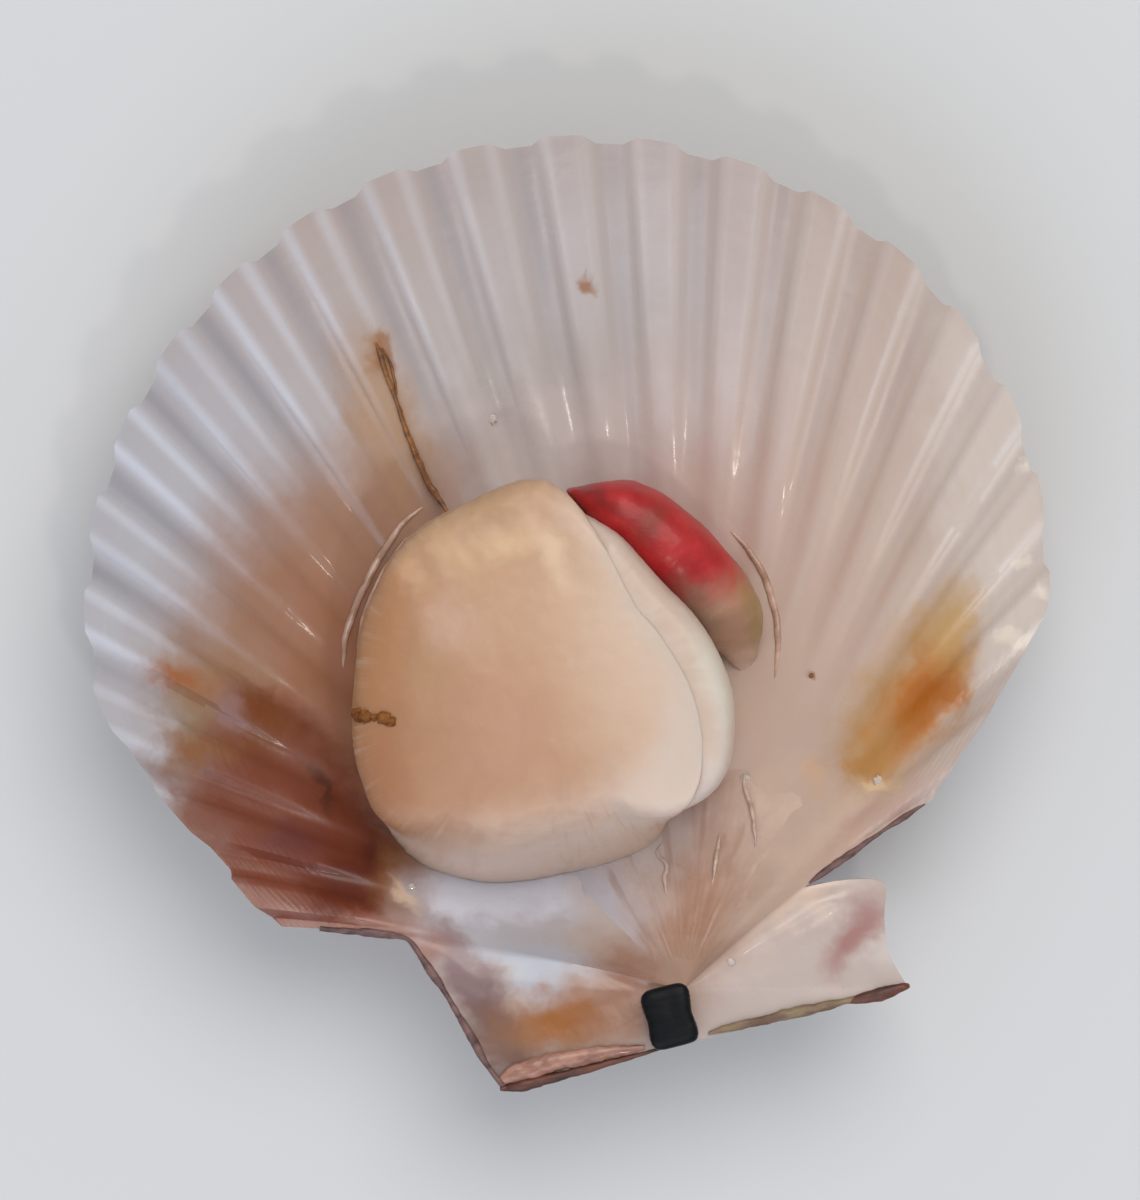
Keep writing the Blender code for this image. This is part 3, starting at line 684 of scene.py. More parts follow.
def flesh_tree():
    """Relief for soft tissue: rounded lumps, fibres that follow the surface, and fine grain."""
    tree, add, given = new_tree("flesh_relief", Float=(*FLESH_SIZES, "Seed"), Material=("Material",))
    across, along, fibrous, lumpy = (
        add("GeometryNodeInputNamedAttribute", {"Name": name}, data_type="FLOAT")
        for name in ("across", "along", "fibrous", "lumpy")
    )
    position = add("GeometryNodeInputPosition")

    lumps_per_metre = add("ShaderNodeMath", {0: 1.0, 1: given["Lump Size"]}, operation="DIVIDE")
    lumps = add("ShaderNodeTexNoise", {
        "Vector": position, "W": given["Seed"], "Scale": lumps_per_metre,
    }, noise_dimensions="4D")

    fibre_at = add("ShaderNodeMath", {0: across, 1: given["Fibre Spacing"]}, operation="DIVIDE")
    fibre_place = add("ShaderNodeCombineXYZ", {"X": fibre_at, "Y": along, "Z": given["Seed"]})
    fibres = add("ShaderNodeTexNoise", {"Vector": fibre_place, "Scale": 1.0})

    grains_per_metre = add("ShaderNodeMath", {0: 1.0, 1: given["Grain Size"]}, operation="DIVIDE")
    grain = add("ShaderNodeTexVoronoi", {"Vector": position, "Scale": grains_per_metre}, feature="SMOOTH_F1")
    grain = add("ShaderNodeMath", {0: 0.5, 1: grain}, operation="SUBTRACT")
    grain = add("ShaderNodeMath", {0: grain, 1: given["Grain Height"]}, operation="MULTIPLY")
    reliefs = []
    for relief, height, where in ((lumps, "Lump Height", lumpy), (fibres, "Fibre Height", fibrous)):
        relief = add("ShaderNodeMath", {0: relief, 1: 0.5}, operation="SUBTRACT")
        for factor in (given[height], where):
            relief = add("ShaderNodeMath", {0: relief, 1: factor}, operation="MULTIPLY")
        reliefs.append(relief)
    lift = add("ShaderNodeMath", {0: reliefs[0], 1: reliefs[1]}, operation="ADD")
    lift = add("ShaderNodeMath", {0: lift, 1: grain}, operation="ADD")
    normal = add("GeometryNodeInputNormal")
    shift = add("ShaderNodeVectorMath", {0: normal, "Scale": lift}, operation="SCALE")
    moved = add("GeometryNodeSetPosition", {"Geometry": given["Geometry"], "Offset": shift})
    painted = close_tree(add, moved, given["Material"])
    add("NodeGroupOutput", {"Geometry": painted})
    return tree


def strand_tree():
    """A strand along each line of edges: its width comes with the line, and wavers."""
    floats = ("Step", "Flatness", "Waver", "Waver Size", "Raggedness", "Seed")
    tree, add, given = new_tree("soft_strands", Float=floats, Int=("Sides",), Material=("Material",))
    half_width = add("GeometryNodeInputNamedAttribute", {"Name": "half_width"}, data_type="FLOAT")
    position = add("GeometryNodeInputPosition")
    lines = add("GeometryNodeMeshToCurve", {"Mesh": given["Geometry"]})
    even = add("GeometryNodeResampleCurve", {"Curve": lines, "Length": given["Step"]}, mode="LENGTH")
    wavers_per_metre = add("ShaderNodeMath", {0: 1.0, 1: given["Waver Size"]}, operation="DIVIDE")
    drift = add("ShaderNodeTexNoise", {
        "Vector": position, "W": given["Seed"], "Scale": wavers_per_metre,
    }, noise_dimensions="4D")
    drift = drift.outputs["Color"]
    drift_by = add("ShaderNodeVectorMath", {0: drift, 1: (0.5, 0.5, 0.5)}, operation="SUBTRACT")
    drift_by = add("ShaderNodeVectorMath", {0: drift_by, 1: (1.0, 1.0, 0.2)}, operation="MULTIPLY")
    drift_by = add("ShaderNodeVectorMath", {0: drift_by, "Scale": given["Waver"]}, operation="SCALE")
    wavy = add("GeometryNodeSetPosition", {"Geometry": even, "Offset": drift_by})
    upright = add("GeometryNodeSetCurveNormal", {"Curve": wavy}, mode="Z_UP")
    ragged = add(
        "ShaderNodeTexNoise", {"Vector": position, "W": given["Seed"], "Scale": 1400.0}, noise_dimensions="4D"
    )
    ragged = add("ShaderNodeMath", {0: ragged, 1: 0.5}, operation="SUBTRACT")
    ragged = add("ShaderNodeMath", {0: ragged, 1: given["Raggedness"], 2: 1.0}, operation="MULTIPLY_ADD")
    scale = add("ShaderNodeMath", {0: half_width, 1: ragged}, operation="MULTIPLY")
    ring = add(
        "GeometryNodeCurvePrimitiveCircle", {"Resolution": given["Sides"], "Radius": 1.0}, mode="RADIUS"
    )
    squash = add("ShaderNodeCombineXYZ", {"X": 1.0, "Y": given["Flatness"], "Z": 1.0})
    ring = add("GeometryNodeTransform", {"Geometry": ring, "Scale": squash})
    swept = add("GeometryNodeCurveToMesh", {
        "Curve": upright, "Profile Curve": ring, "Scale": scale, "Fill Caps": True,
    })
    painted = close_tree(add, swept, given["Material"])
    add("NodeGroupOutput", {"Geometry": painted})
    return tree


# ---------------------------------------------------------------- materials


def new_material(name, **sockets):
    """A principled material, its adder and its shader: uniform values stand on the shader's sockets."""
    material = bpy.data.materials.new(name)
    material.use_nodes = True
    surface = material.node_tree.nodes["Principled BSDF"]
    for label, value in sockets.items():
        surface.inputs[label.replace("_", " ")].default_value = value
    return material, partial(add_node, material.node_tree), surface


def paint(add, under, place, tones):
    """Lays soft-edged elliptical tones over a colour, one after another."""
    for x, y, half_length, half_width, turn, code, strength, softness in tones:
        there = add("ShaderNodeMapping", {
            "Vector": place,
            "Location": in_frame(x * MM, y * MM),
            "Rotation": (0.0, 0.0, math.radians(turn)),
            "Scale": (half_length * MM, half_width * MM, 1.0),
        }, vector_type="TEXTURE")
        far = add("ShaderNodeVectorMath", {0: there}, operation="LENGTH")
        share = add("ShaderNodeMapRange", {
            "Value": far.outputs["Value"],
            "From Min": 1.0 + softness,
            "From Max": 1.0 - softness,
            "To Min": 0.0,
            "To Max": strength,
        }, **SMOOTH)
        under = add("ShaderNodeMix", {"Factor": share, "A": under, "B": colour(code)}, data_type="RGBA")
    return under


def wandering(add, place, size, amount):
    """A place that drifts by a cloudy amount, so that the edges of what is painted there are uneven."""
    cloud = add("ShaderNodeTexNoise", {"Vector": place, "Scale": 1.0 / size, "Detail": 3.0})
    cloud = cloud.outputs["Color"]
    centred = add("ShaderNodeVectorMath", {0: cloud, 1: (0.5, 0.5, 0.5)}, operation="SUBTRACT")
    drift = add("ShaderNodeVectorMath", {0: centred, "Scale": amount}, operation="SCALE")
    return add("ShaderNodeVectorMath", {0: place, 1: drift}, operation="ADD")


def valve_inside_material():
    """Calcite laid down by the mantle: a smooth wet glaze, bluish at the left margin and pinkish beige at the
    right, with stains soaked into it, and painted highlights and painted shade on its ribs, rim, left ear and
    floor."""
    material, add, surface = new_material(
        "calcite_glazed_wet", IOR=1.55, Coat_Weight=0.35, Coat_Roughness=0.1, Coat_IOR=1.34
    )
    place = add("ShaderNodeTexCoord").outputs["Object"]
    ray, reach, ear = (
        add("ShaderNodeAttribute", attribute_name=name).outputs["Fac"] for name in ("ray", "reach", "ear")
    )
    drifting = wandering(add, place, 3.5 * MM, 4.0 * MM)
    drifting = wandering(add, drifting, 0.9 * MM, 1.1 * MM)

    # Broad tones drift along the ribs, as they were laid down from the margin.
    streak_place = add("ShaderNodeCombineXYZ", {"X": ray, "Y": reach})
    streaks = add(
        "ShaderNodeTexNoise", {"Vector": streak_place, "Scale": 2.6, "Detail": 4.0, "Roughness": 0.6}
    )
    base = add(
        "ShaderNodeMix", {"Factor": streaks, "A": colour("AFA19A"), "B": colour("BBAAA3")}, data_type="RGBA"
    )
    painted = paint(add, base, drifting, VALVE_GLAZE_TONES)

    phase = across_rib(add, ray)[1]
    on_disc = add("ShaderNodeMapRange", {"Value": ear, "From Max": 0.05, "To Min": 1.0, "To Max": 0.0})
    # The rib lines are strongest at the left and tinted bluish there, as a painted reflection of cool light.
    parts = add("ShaderNodeSeparateXYZ", {"Vector": place})
    leftness = add("ShaderNodeMapRange", {
        "Value": parts.outputs["X"], "From Min": 8 * MM, "From Max": -20 * MM, "To Min": 0.35,
    })
    leftness = add("ShaderNodeMath", {0: leftness, 1: on_disc}, operation="MULTIPLY")
    light = add(
        "ShaderNodeMix", {"Factor": leftness, "A": colour("DCCFC2"), "B": colour("CDD0DA")}, data_type="RGBA"
    )

    # One soft light line down each rib's middle at mid reach, which parts into two bright edges, and a grey
    # line in each groove: partly the ribs' own tone, partly painted highlight on the rib edges and painted
    # shade in the grooves.
    lines = (
        (0.0, 0.2, 0.4, 0.6, 0.68, 0.9, 0.5, light),
        (0.22, 0.14, 0.66, 0.86, 2.0, 3.0, 0.85, light),
        (0.5, 0.2, 0.5, 0.85, 2.0, 3.0, 0.65, colour("85838A")),
    )
    for at, width, rise_from, rise_to, fall_from, fall_to, amount, tint in lines:
        off = add("ShaderNodeMath", {0: phase, 1: at}, operation="SUBTRACT")
        off = add("ShaderNodeMath", {0: off}, operation="ABSOLUTE")
        narrow = add("ShaderNodeMapRange", {
            "Value": off, "From Min": width, "From Max": 0.0, "To Max": amount,
        }, **SMOOTH)
        rise = add(
            "ShaderNodeMapRange", {"Value": reach, "From Min": rise_from, "From Max": rise_to}, **SMOOTH
        )
        fall = add("ShaderNodeMapRange", {
            "Value": reach, "From Min": fall_from, "From Max": fall_to, "To Min": 1.0, "To Max": 0.0,
        }, **SMOOTH)
        patchy = add(
            "ShaderNodeMapRange", {"Value": streaks, "From Min": 0.3, "From Max": 0.6, "To Min": 0.45}
        )
        share = narrow
        for factor in (rise, fall, leftness, patchy):
            share = add("ShaderNodeMath", {0: share, 1: factor}, operation="MULTIPLY")
        painted = add("ShaderNodeMix", {"Factor": share, "A": painted, "B": tint}, data_type="RGBA")
    # Then the stains, with painted glints on the rim and floor, painted reflections and painted shade on the
    # left ear, and painted shade beside the muscle.
    painted = paint(add, painted, drifting, VALVE_STAINS_AND_PAINTED_LIGHT)

    # The wet film thins and pools: gloss in patches a few millimetres wide, over pores of a tenth.
    film = add("ShaderNodeTexNoise", {"Vector": place, "Scale": 1.0 / (5.0 * MM), "Detail": 3.0})
    roughness = add("ShaderNodeMapRange", {
        "Value": film, "From Min": 0.35, "From Max": 0.65, "To Min": 0.26, "To Max": 0.5,
    })
    ripple = add("ShaderNodeTexNoise", {"Vector": place, "Scale": 1.0 / (0.6 * MM), "Detail": 3.0})
    bump = add("ShaderNodeBump", {"Height": ripple, "Distance": 0.05 * MM, "Strength": 0.35})
    connect(surface, {"Base Color": painted, "Roughness": roughness, "Normal": bump})
    return material


# Growth lines outside, from the umbo to the margin, in radians of their wave.
GROWTH_LINE_TURNS = 1100.0


def valve_outside_material():
    """Bare ribbed calcite: dull, finely scaly, pinkish buff with red-brown bands at its growth stops."""
    material, add, surface = new_material("calcite_ribbed_dry", IOR=1.55, Specular_IOR_Level=0.35)
    place = add("ShaderNodeTexCoord").outputs["Object"]
    ray, reach = (add("ShaderNodeAttribute", attribute_name=name).outputs["Fac"] for name in ("ray", "reach"))
    spread = add("ShaderNodeCombineXYZ", {"X": ray, "Y": reach})
    mottle = add("ShaderNodeTexNoise", {"Vector": spread, "Scale": 1.7, "Detail": 5.0, "Roughness": 0.65})
    bands = add("ShaderNodeTexWave", {
        "Vector": spread, "Scale": 1.5, "Distortion": 1.5, "Detail Scale": 1.0,
    }, bands_direction="Y")
    tone = add("ShaderNodeMath", {0: mottle, 1: 0.65}, operation="MULTIPLY")
    tone = add("ShaderNodeMath", {0: bands, 1: 0.3, 2: tone}, operation="MULTIPLY_ADD")
    ramp = add("ShaderNodeValToRGB", {"Fac": tone})
    for element, share, code in zip(ramp.color_ramp.elements, (0.28, 0.62), ("8A5A4C", "CDB5A4")):
        element.position, element.color = share, colour(code)
    rough = add("ShaderNodeMapRange", {"Value": mottle, "To Min": 0.5, "To Max": 0.75})

    # Growth lines a third of a millimetre apart, and pores.
    turns = add("ShaderNodeMath", {0: reach, 1: GROWTH_LINE_TURNS}, operation="MULTIPLY")
    scales = add("ShaderNodeMath", {0: turns}, operation="SINE")
    pores = add("ShaderNodeTexNoise", {"Vector": place, "Scale": 1.0 / (0.25 * MM)})
    height = add("ShaderNodeMath", {0: scales, 1: 0.5, 2: pores}, operation="MULTIPLY_ADD")
    bump = add("ShaderNodeBump", {"Height": height, "Distance": 0.06 * MM, "Strength": 0.6})
    connect(surface, {"Base Color": ramp, "Roughness": rough, "Normal": bump})
    return material


def flesh_material(name, base, tones, roughness, grain, bump_height, streaks=None, inner=None, **sockets):
    """Wet raw flesh: light soaks in and comes back warm, under a thin moist gloss.

    streaks, where given, are two colours and the spacing of strands that run along the piece. inner is a
    colour that the piece fades into as its side attribute falls, towards its hidden side.
    """
    material, add, surface = new_material(name, **sockets)
    place = add("ShaderNodeTexCoord").outputs["Object"]
    drifting = wandering(add, place, 2.5 * MM, 2.2 * MM)
    drifting = wandering(add, drifting, 0.7 * MM, 0.6 * MM)
    mottle = add("ShaderNodeTexNoise", {"Vector": drifting, "Scale": 1.0 / (2.2 * MM), "Detail": 4.0})
    darker, lighter = base
    under = add("ShaderNodeMapRange", {"Value": mottle, "From Min": 0.3, "From Max": 0.7})
    under = add(
        "ShaderNodeMix", {"Factor": under, "A": colour(darker), "B": colour(lighter)}, data_type="RGBA"
    )
    painted = paint(add, under, drifting, tones)
    if inner:
        side = add("ShaderNodeAttribute", attribute_name="side").outputs["Fac"]
        share = add("ShaderNodeMapRange", {"Value": side, "From Min": 0.55, "From Max": -0.75}, **SMOOTH)
        painted = add("ShaderNodeMix", {"Factor": share, "A": painted, "B": colour(inner)}, data_type="RGBA")
    if streaks:
        dark, light, spacing = streaks
        across, along, fibrous = (
            add("ShaderNodeAttribute", attribute_name=name).outputs["Fac"]
            for name in ("across", "along", "fibrous")
        )
        at = add("ShaderNodeMath", {0: across, 1: 1.0 / spacing}, operation="MULTIPLY")
        strand_place = add("ShaderNodeCombineXYZ", {"X": at, "Y": along})
        strand = add(
            "ShaderNodeTexNoise", {"Vector": strand_place, "Scale": 1.0, "Detail": 3.0, "Distortion": 0.4}
        )
        for code, start, end in ((dark, 0.46, 0.3), (light, 0.54, 0.72)):
            share = add("ShaderNodeMapRange", {
                "Value": strand, "From Min": start, "From Max": end, "To Max": 0.45,
            }, **SMOOTH)
            share = add("ShaderNodeMath", {0: share, 1: fibrous}, operation="MULTIPLY")
            painted = add(
                "ShaderNodeMix", {"Factor": share, "A": painted, "B": colour(code)}, data_type="RGBA"
            )
    low, high = roughness
    moist = add("ShaderNodeMapRange", {"Value": mottle, "To Min": low, "To Max": high})

    # Bundles of fibres end at the surface as small rounded cells.
    cells = add("ShaderNodeTexVoronoi", {"Vector": drifting, "Scale": 1.0 / grain})
    bump = add("ShaderNodeBump", {"Height": cells, "Distance": bump_height, "Strength": 0.5})
    bump.invert = True
    connect(surface, {"Base Color": painted, "Roughness": moist, "Normal": bump})
    return material


def skin_material(name, darker, lighter, size, roughness, **sockets):
    """Dried or horny skin, streaked along the hinge between two tones."""
    material, add, surface = new_material(name, Roughness=roughness, **sockets)
    place = add("ShaderNodeTexCoord").outputs["Object"]
    stretched = add("ShaderNodeMapping", {"Vector": place, "Scale": (0.35, 1.0, 1.0)})
    cloud = add(
        "ShaderNodeTexNoise", {"Vector": stretched, "Scale": 1.0 / size, "Detail": 4.0, "Roughness": 0.6}
    )
    ramp = add("ShaderNodeValToRGB", {"Fac": cloud})
    for element, share, code in zip(ramp.color_ramp.elements, (0.36, 0.62), (darker, lighter)):
        element.position, element.color = share, colour(code)
    bump = add("ShaderNodeBump", {"Height": cloud, "Distance": 0.15 * size, "Strength": 0.5})
    connect(surface, {"Base Color": ramp, "Normal": bump})
    return material


# ---------------------------------------------------------------- the meat's rule


def meat_radius(angle):
    """The whole meat's outline radius at an angle in degrees from +X."""
    count = len(MEAT_RADII)
    radii = MEAT_RADII[-2:] + MEAT_RADII + MEAT_RADII[:3]
    return spline(radii, 2.0 + (angle % 360.0) / 360.0 * count) * MM


def catch_width(angle):
    """Width of the catch muscle at an angle round the meat, nothing beyond its two ends."""
    share = ((angle + 180.0) % 360.0 - 180.0 - CATCH_FROM) / (CATCH_TO - CATCH_FROM)
    if share <= 0.0 or share >= 1.0:
        return 0.0
    rise = share / CATCH_WIDEST_AT if share < CATCH_WIDEST_AT else (1.0 - share) / (1.0 - CATCH_WIDEST_AT)
    return CATCH_WIDTH * smooth_step(0.0, 1.0, rise) ** 0.5


def covered_by_catch(angle):
    """How far the catch muscle covers the striated muscle's side at an angle."""
    return smooth_step(0.0, CATCH_COVERS_FROM, catch_width(angle))


def around(angle, low, high):
    """1 between two angles round the meat, fading to nothing outside them."""
    turned = (angle - low) % 360.0
    span = (high - low) % 360.0
    outside = min(max(turned - span, 0.0), 360.0 - turned) if turned > span else 0.0
    return 1.0 - smooth_step(0.0, ANGLE_FADE, outside)


MUSCLE_TURNS = 300
MUSCLE_TOP_RINGS = 44
MUSCLE_EDGE_RINGS = 12
MUSCLE_SIDE_RINGS = 26

# How far the muscle's rounded edge reaches in and down, and what its left and lower stretches add.
MUSCLE_EDGE = 1.6 * MM
MUSCLE_EDGE_LEFT = 0.9 * MM
MUSCLE_EDGE_BELOW = 3.4 * MM
MUSCLE_EDGE_DROP = 1.2 * MM
MUSCLE_EDGE_DROP_LEFT = 0.8 * MM
MUSCLE_TOP_FALL = 0.3 * MM
MUSCLE_BELLY = 0.3 * MM
MUSCLE_FOOT_SHARE = 0.93
MUSCLE_FOOT_LEFT = 0.04
MUSCLE_FOOT_BELOW = 1.3 * MM
MUSCLE_LEFT_ANGLES = (150.0, 205.0)
MUSCLE_BELOW_ANGLES = (228.0, 286.0)


def muscle_profile(angle):
    """Points of the muscle's section at an angle: (radius, height), from the middle out and down.

    Its lower side slopes out to its foot; elsewhere it is a rounded edge over an upright side.
    """
    left = around(angle, *MUSCLE_LEFT_ANGLES)
    below = around(angle, *MUSCLE_BELOW_ANGLES)
    beside_catch = covered_by_catch(angle)
    radius = meat_radius(angle) - catch_width(angle)
    edge = (MUSCLE_EDGE + MUSCLE_EDGE_LEFT * left) * (1.0 - 0.9 * beside_catch) + MUSCLE_EDGE_BELOW * below
    edge_drop = (MUSCLE_EDGE_DROP + MUSCLE_EDGE_DROP_LEFT * left) * (1.0 - 0.9 * beside_catch)
    cosine, sine = math.cos(math.radians(angle)), math.sin(math.radians(angle))
    points = []
    inner = radius - edge
    for ring in range(1, MUSCLE_TOP_RINGS + 1):
        share = ring / MUSCLE_TOP_RINGS
        points.append((inner * share, MEAT_TOP_Z - MUSCLE_TOP_FALL * share**2))
    rim_top = points[-1][1]
    foot = radius * (MUSCLE_FOOT_SHARE + MUSCLE_FOOT_LEFT * left) + MUSCLE_FOOT_BELOW * below
    bottom = floor_z(MEAT_CENTRE.x + foot * cosine, MEAT_CENTRE.y + foot * sine) - SINK
    rings = MUSCLE_EDGE_RINGS + MUSCLE_SIDE_RINGS
    for ring in range(1, rings + 1):
        if ring <= MUSCLE_EDGE_RINGS:
            turn = 0.5 * math.pi * ring / MUSCLE_EDGE_RINGS
            out, height = inner + edge * math.sin(turn), rim_top - edge_drop * (1.0 - math.cos(turn))
        else:
            share = (ring - MUSCLE_EDGE_RINGS) / MUSCLE_SIDE_RINGS
            belly = MUSCLE_BELLY * math.sin(math.pi * share) * (1.0 - max(below, left))
            out = radius + (foot - radius) * share**1.6 + belly
            height = rim_top - edge_drop + (bottom - rim_top + edge_drop) * share
        share = ring / rings
        slope_out = inner + (foot - inner) * share**0.85
        slope_height = rim_top + (bottom - rim_top) * share**1.9
        points.append((out + (slope_out - out) * below, height + (slope_height - height) * below))
    return points


def muscle_source():
    """The striated muscle: a short barrel, cut flat on top, whose fibres run up and down its side."""
    mesh = bmesh.new()
    layers = float_layers(mesh, "across", "along", "fibrous", "lumpy", "side")
    rings = MUSCLE_TOP_RINGS + MUSCLE_EDGE_RINGS + MUSCLE_SIDE_RINGS
    top = mesh.verts.new(in_frame(MEAT_CENTRE.x, MEAT_CENTRE.y, MEAT_TOP_Z))
    mark(top, layers, lumpy=0.4, side=1.0)
    loops = [[] for _ in range(rings)]
    for turn in range(MUSCLE_TURNS):
        angle = 360.0 * turn / MUSCLE_TURNS
        cosine, sine = math.cos(math.radians(angle)), math.sin(math.radians(angle))
        for ring, (radius, height) in enumerate(muscle_profile(angle)):
            x, y = MEAT_CENTRE.x + radius * cosine, MEAT_CENTRE.y + radius * sine
            vertex = mesh.verts.new(in_frame(x, y, height))
            side = smooth_step(0.0, 1.0, (ring - MUSCLE_TOP_RINGS) / MUSCLE_EDGE_RINGS)
            upper = smooth_step(26.0 * MM, 31.0 * MM, y) * smooth_step(7.0 * MM, 2.0 * MM, x + 4.0 * MM)
            covered = covered_by_catch(angle)
            near_rim = smooth_step(0.6, 0.9, ring / MUSCLE_TOP_RINGS) * covered
            mark(
                vertex, layers, across=math.radians(angle) * meat_radius(angle), along=height / FIBRE_RUN,
                fibrous=side * (1.0 - 0.8 * covered),
                lumpy=(0.4 + 1.2 * upper) * (1.0 - 0.6 * side) * (1.0 - 0.85 * near_rim),
                side=1.0 - 2.0 * smooth_step(0.0, 8.0 * MM, MEAT_TOP_Z - height),
            )
            loops[ring].append(vertex)
    base = mesh.verts.new(in_frame(*MEAT_CENTRE, floor_z(*MEAT_CENTRE) - SINK))
    for turn in range(MUSCLE_TURNS):
        after = (turn + 1) % MUSCLE_TURNS
        mesh.faces.new((top, loops[0][turn], loops[0][after]))
        for inner, outer in zip(loops, loops[1:]):
            mesh.faces.new((inner[turn], outer[turn], outer[after], inner[after]))
        mesh.faces.new((base, loops[-1][after], loops[-1][turn]))
    return mesh


def swept_source(section, stations, sides):
    """A long soft body drawn out along a line, closed at both ends.

    section(share) gives its middle, half width, unit vector across, top height, and how blunt its ends are.
    """
    mesh = bmesh.new()
    layers = float_layers(mesh, "across", "along", "fibrous", "lumpy", "side")
    bmesh.ops.create_uvsphere(mesh, u_segments=sides, v_segments=stations, radius=1.0)
    for vertex in mesh.verts:
        share = 1.0 - math.acos(min(max(vertex.co.z, -1.0), 1.0)) / math.pi
        middle, half_width, across, top, roundness, taper = section(share)
        ring = math.hypot(vertex.co.x, vertex.co.y)
        side, lift = (vertex.co.x / ring, vertex.co.y / ring) if ring > 1e-6 else (0.0, 0.0)
        end = math.sin(0.5 * math.pi * min(1.0, min(share, 1.0 - share) / taper))
        place = middle + across * half_width * math.copysign(abs(side) ** roundness, side) * end
        bottom = floor_z(place.x, place.y) - SINK
        lift = math.copysign(abs(lift) ** roundness, lift) * (0.25 + 0.75 * end)
        middle_z = 0.5 * (bottom + top)
        vertex.co = in_frame(place.x, place.y, middle_z + (top - middle_z) * lift)
        along = vertex.co.z / FIBRE_RUN
        mark(vertex, layers, across=share * 30.0 * MM, along=along, fibrous=1.0, lumpy=1.0, side=side)
    if mesh.calc_volume(signed=True) < 0.0:
        bmesh.ops.reverse_faces(mesh, faces=mesh.faces)
    return mesh


# Stations along, and sides round.
CATCH_DIVISIONS = (160, 48)
CORAL_DIVISIONS = (140, 40)


def catch_section(share):
    angle = CATCH_FROM + (CATCH_TO - CATCH_FROM) * (0.02 + 0.96 * share)
    across = Vector((math.cos(math.radians(angle)), math.sin(math.radians(angle))))
    width = catch_width(angle) + CATCH_TUCKED_UNDER
    middle = MEAT_CENTRE + across * (meat_radius(angle) - 0.5 * width)
    return middle, 0.5 * width, across, CATCH_TOP_Z, 0.45, 0.2


def coral_section(share):
    line = [Vector((x * MM, y * MM, width * MM)) for x, y, width in CORAL_LINE]
    position = share * (len(line) - 1)
    here = spline(line, position)
    step = spline(line, min(position + 0.05, len(line) - 1.0)) - spline(line, max(position - 0.05, 0.0))
    across = Vector((step.y, -step.x)).normalized()
    top = CORAL_TOP_Z + (CORAL_ROOT_TOP_Z - CORAL_TOP_Z) * smooth_step(0.4, 0.8, share)
    root_z = floor_z(here.x, here.y) - 0.3 * MM
    top += (root_z - top) * smooth_step(0.72, 1.0, share)
    middle = Vector((here.x, here.y)) + across * 0.55 * MM
    return middle, 0.5 * here.z + 0.75 * MM, across, top, 0.8, 0.22


# ---------------------------------------------------------------- what lies on the valve


def ground(*names):
    """Finds the height of the finished pieces, or of the valve alone, at a place counted from the umbo."""
    trees = []
    for name in names or ("valve",):
        mesh = bpy.data.objects[name].data
        points = [vertex.co.copy() for vertex in mesh.vertices]
        trees.append(BVHTree.FromPolygons(points, [tuple(face.vertices) for face in mesh.polygons]))

    def height(x, y):
        start = in_frame(x, y, 2.0 * VALVE_HIGH.z)
        hits = [tree.ray_cast(start, Vector((0.0, 0.0, -1.0)))[0] for tree in trees]
        heights = [hit.z for hit in hits if hit]
        return max(heights) if heights else floor_z(x, y)

    return height


FILM_COLUMNS = 150
FILM_ROWS = 90
FILM_ANGLES = (-42.0, 57.0)
FILM_NEAR = 1.2 * MM
FILM_FAR = 16.0 * MM
FILM_THICKNESS = 0.22 * MM
FILM_RIM_SINK = 0.12 * MM
FILM_UNDERSIDE = 0.45 * MM


def film_source(height):
    """A film of tissue on the valve between two rays and two distances from the umbo: its rim sinks out of
    sight, and the strands in it run along the rays."""
    mesh = bmesh.new()
    layers = float_layers(mesh, "across", "along", "fibrous", "lumpy")
    from_angle, to_angle = FILM_ANGLES
    sheets = []
    for is_top in (True, False):
        sheet = []
        for row in range(FILM_ROWS + 1):
            line = []
            for column in range(FILM_COLUMNS + 1):
                across, out = column / FILM_COLUMNS, row / FILM_ROWS
                angle = math.radians(from_angle + (to_angle - from_angle) * across)
                radius = FILM_NEAR + (FILM_FAR - FILM_NEAR) * out
                x, y = radius * math.sin(angle), radius * math.cos(angle)
                inside = min(across, 1.0 - across) * 5.0
                inside = min(inside, out * 6.0, (1.0 - out) * 5.0)
                inside += 0.3 * noise.noise(Vector((x, y, 0.0)) / (1.6 * MM)) - 0.1
                rise = smooth_step(0.0, 1.0, inside)
                level = height(x, y)
                if is_top:
                    z = level - FILM_RIM_SINK + (FILM_THICKNESS + FILM_RIM_SINK) * rise
                else:
                    z = level - FILM_UNDERSIDE
                vertex = mesh.verts.new(in_frame(x, y, z))
                run = angle * 0.5 * (FILM_NEAR + FILM_FAR)
                mark(vertex, layers, across=run, along=radius / (7.0 * MM), fibrous=rise, lumpy=rise)
                line.append(vertex)
            sheet.append(line)
        sheets.append(sheet)
    top, under = sheets
    for row in range(FILM_ROWS):
        for column in range(FILM_COLUMNS):
            corners = ((row, column), (row, column + 1), (row + 1, column + 1), (row + 1, column))
            mesh.faces.new([top[at][to] for at, to in reversed(corners)])
            mesh.faces.new([under[at][to] for at, to in corners])
    for column in range(FILM_COLUMNS):
        mesh.faces.new((top[0][column], top[0][column + 1], under[0][column + 1], under[0][column]))
        mesh.faces.new((top[-1][column + 1], top[-1][column], under[-1][column], under[-1][column + 1]))
    for row in range(FILM_ROWS):
        mesh.faces.new((top[row + 1][0], top[row][0], under[row][0], under[row + 1][0]))
        mesh.faces.new((top[row][-1], top[row + 1][-1], under[row + 1][-1], under[row][-1]))
    if mesh.calc_volume(signed=True) < 0.0:
        bmesh.ops.reverse_faces(mesh, faces=mesh.faces)
    return mesh


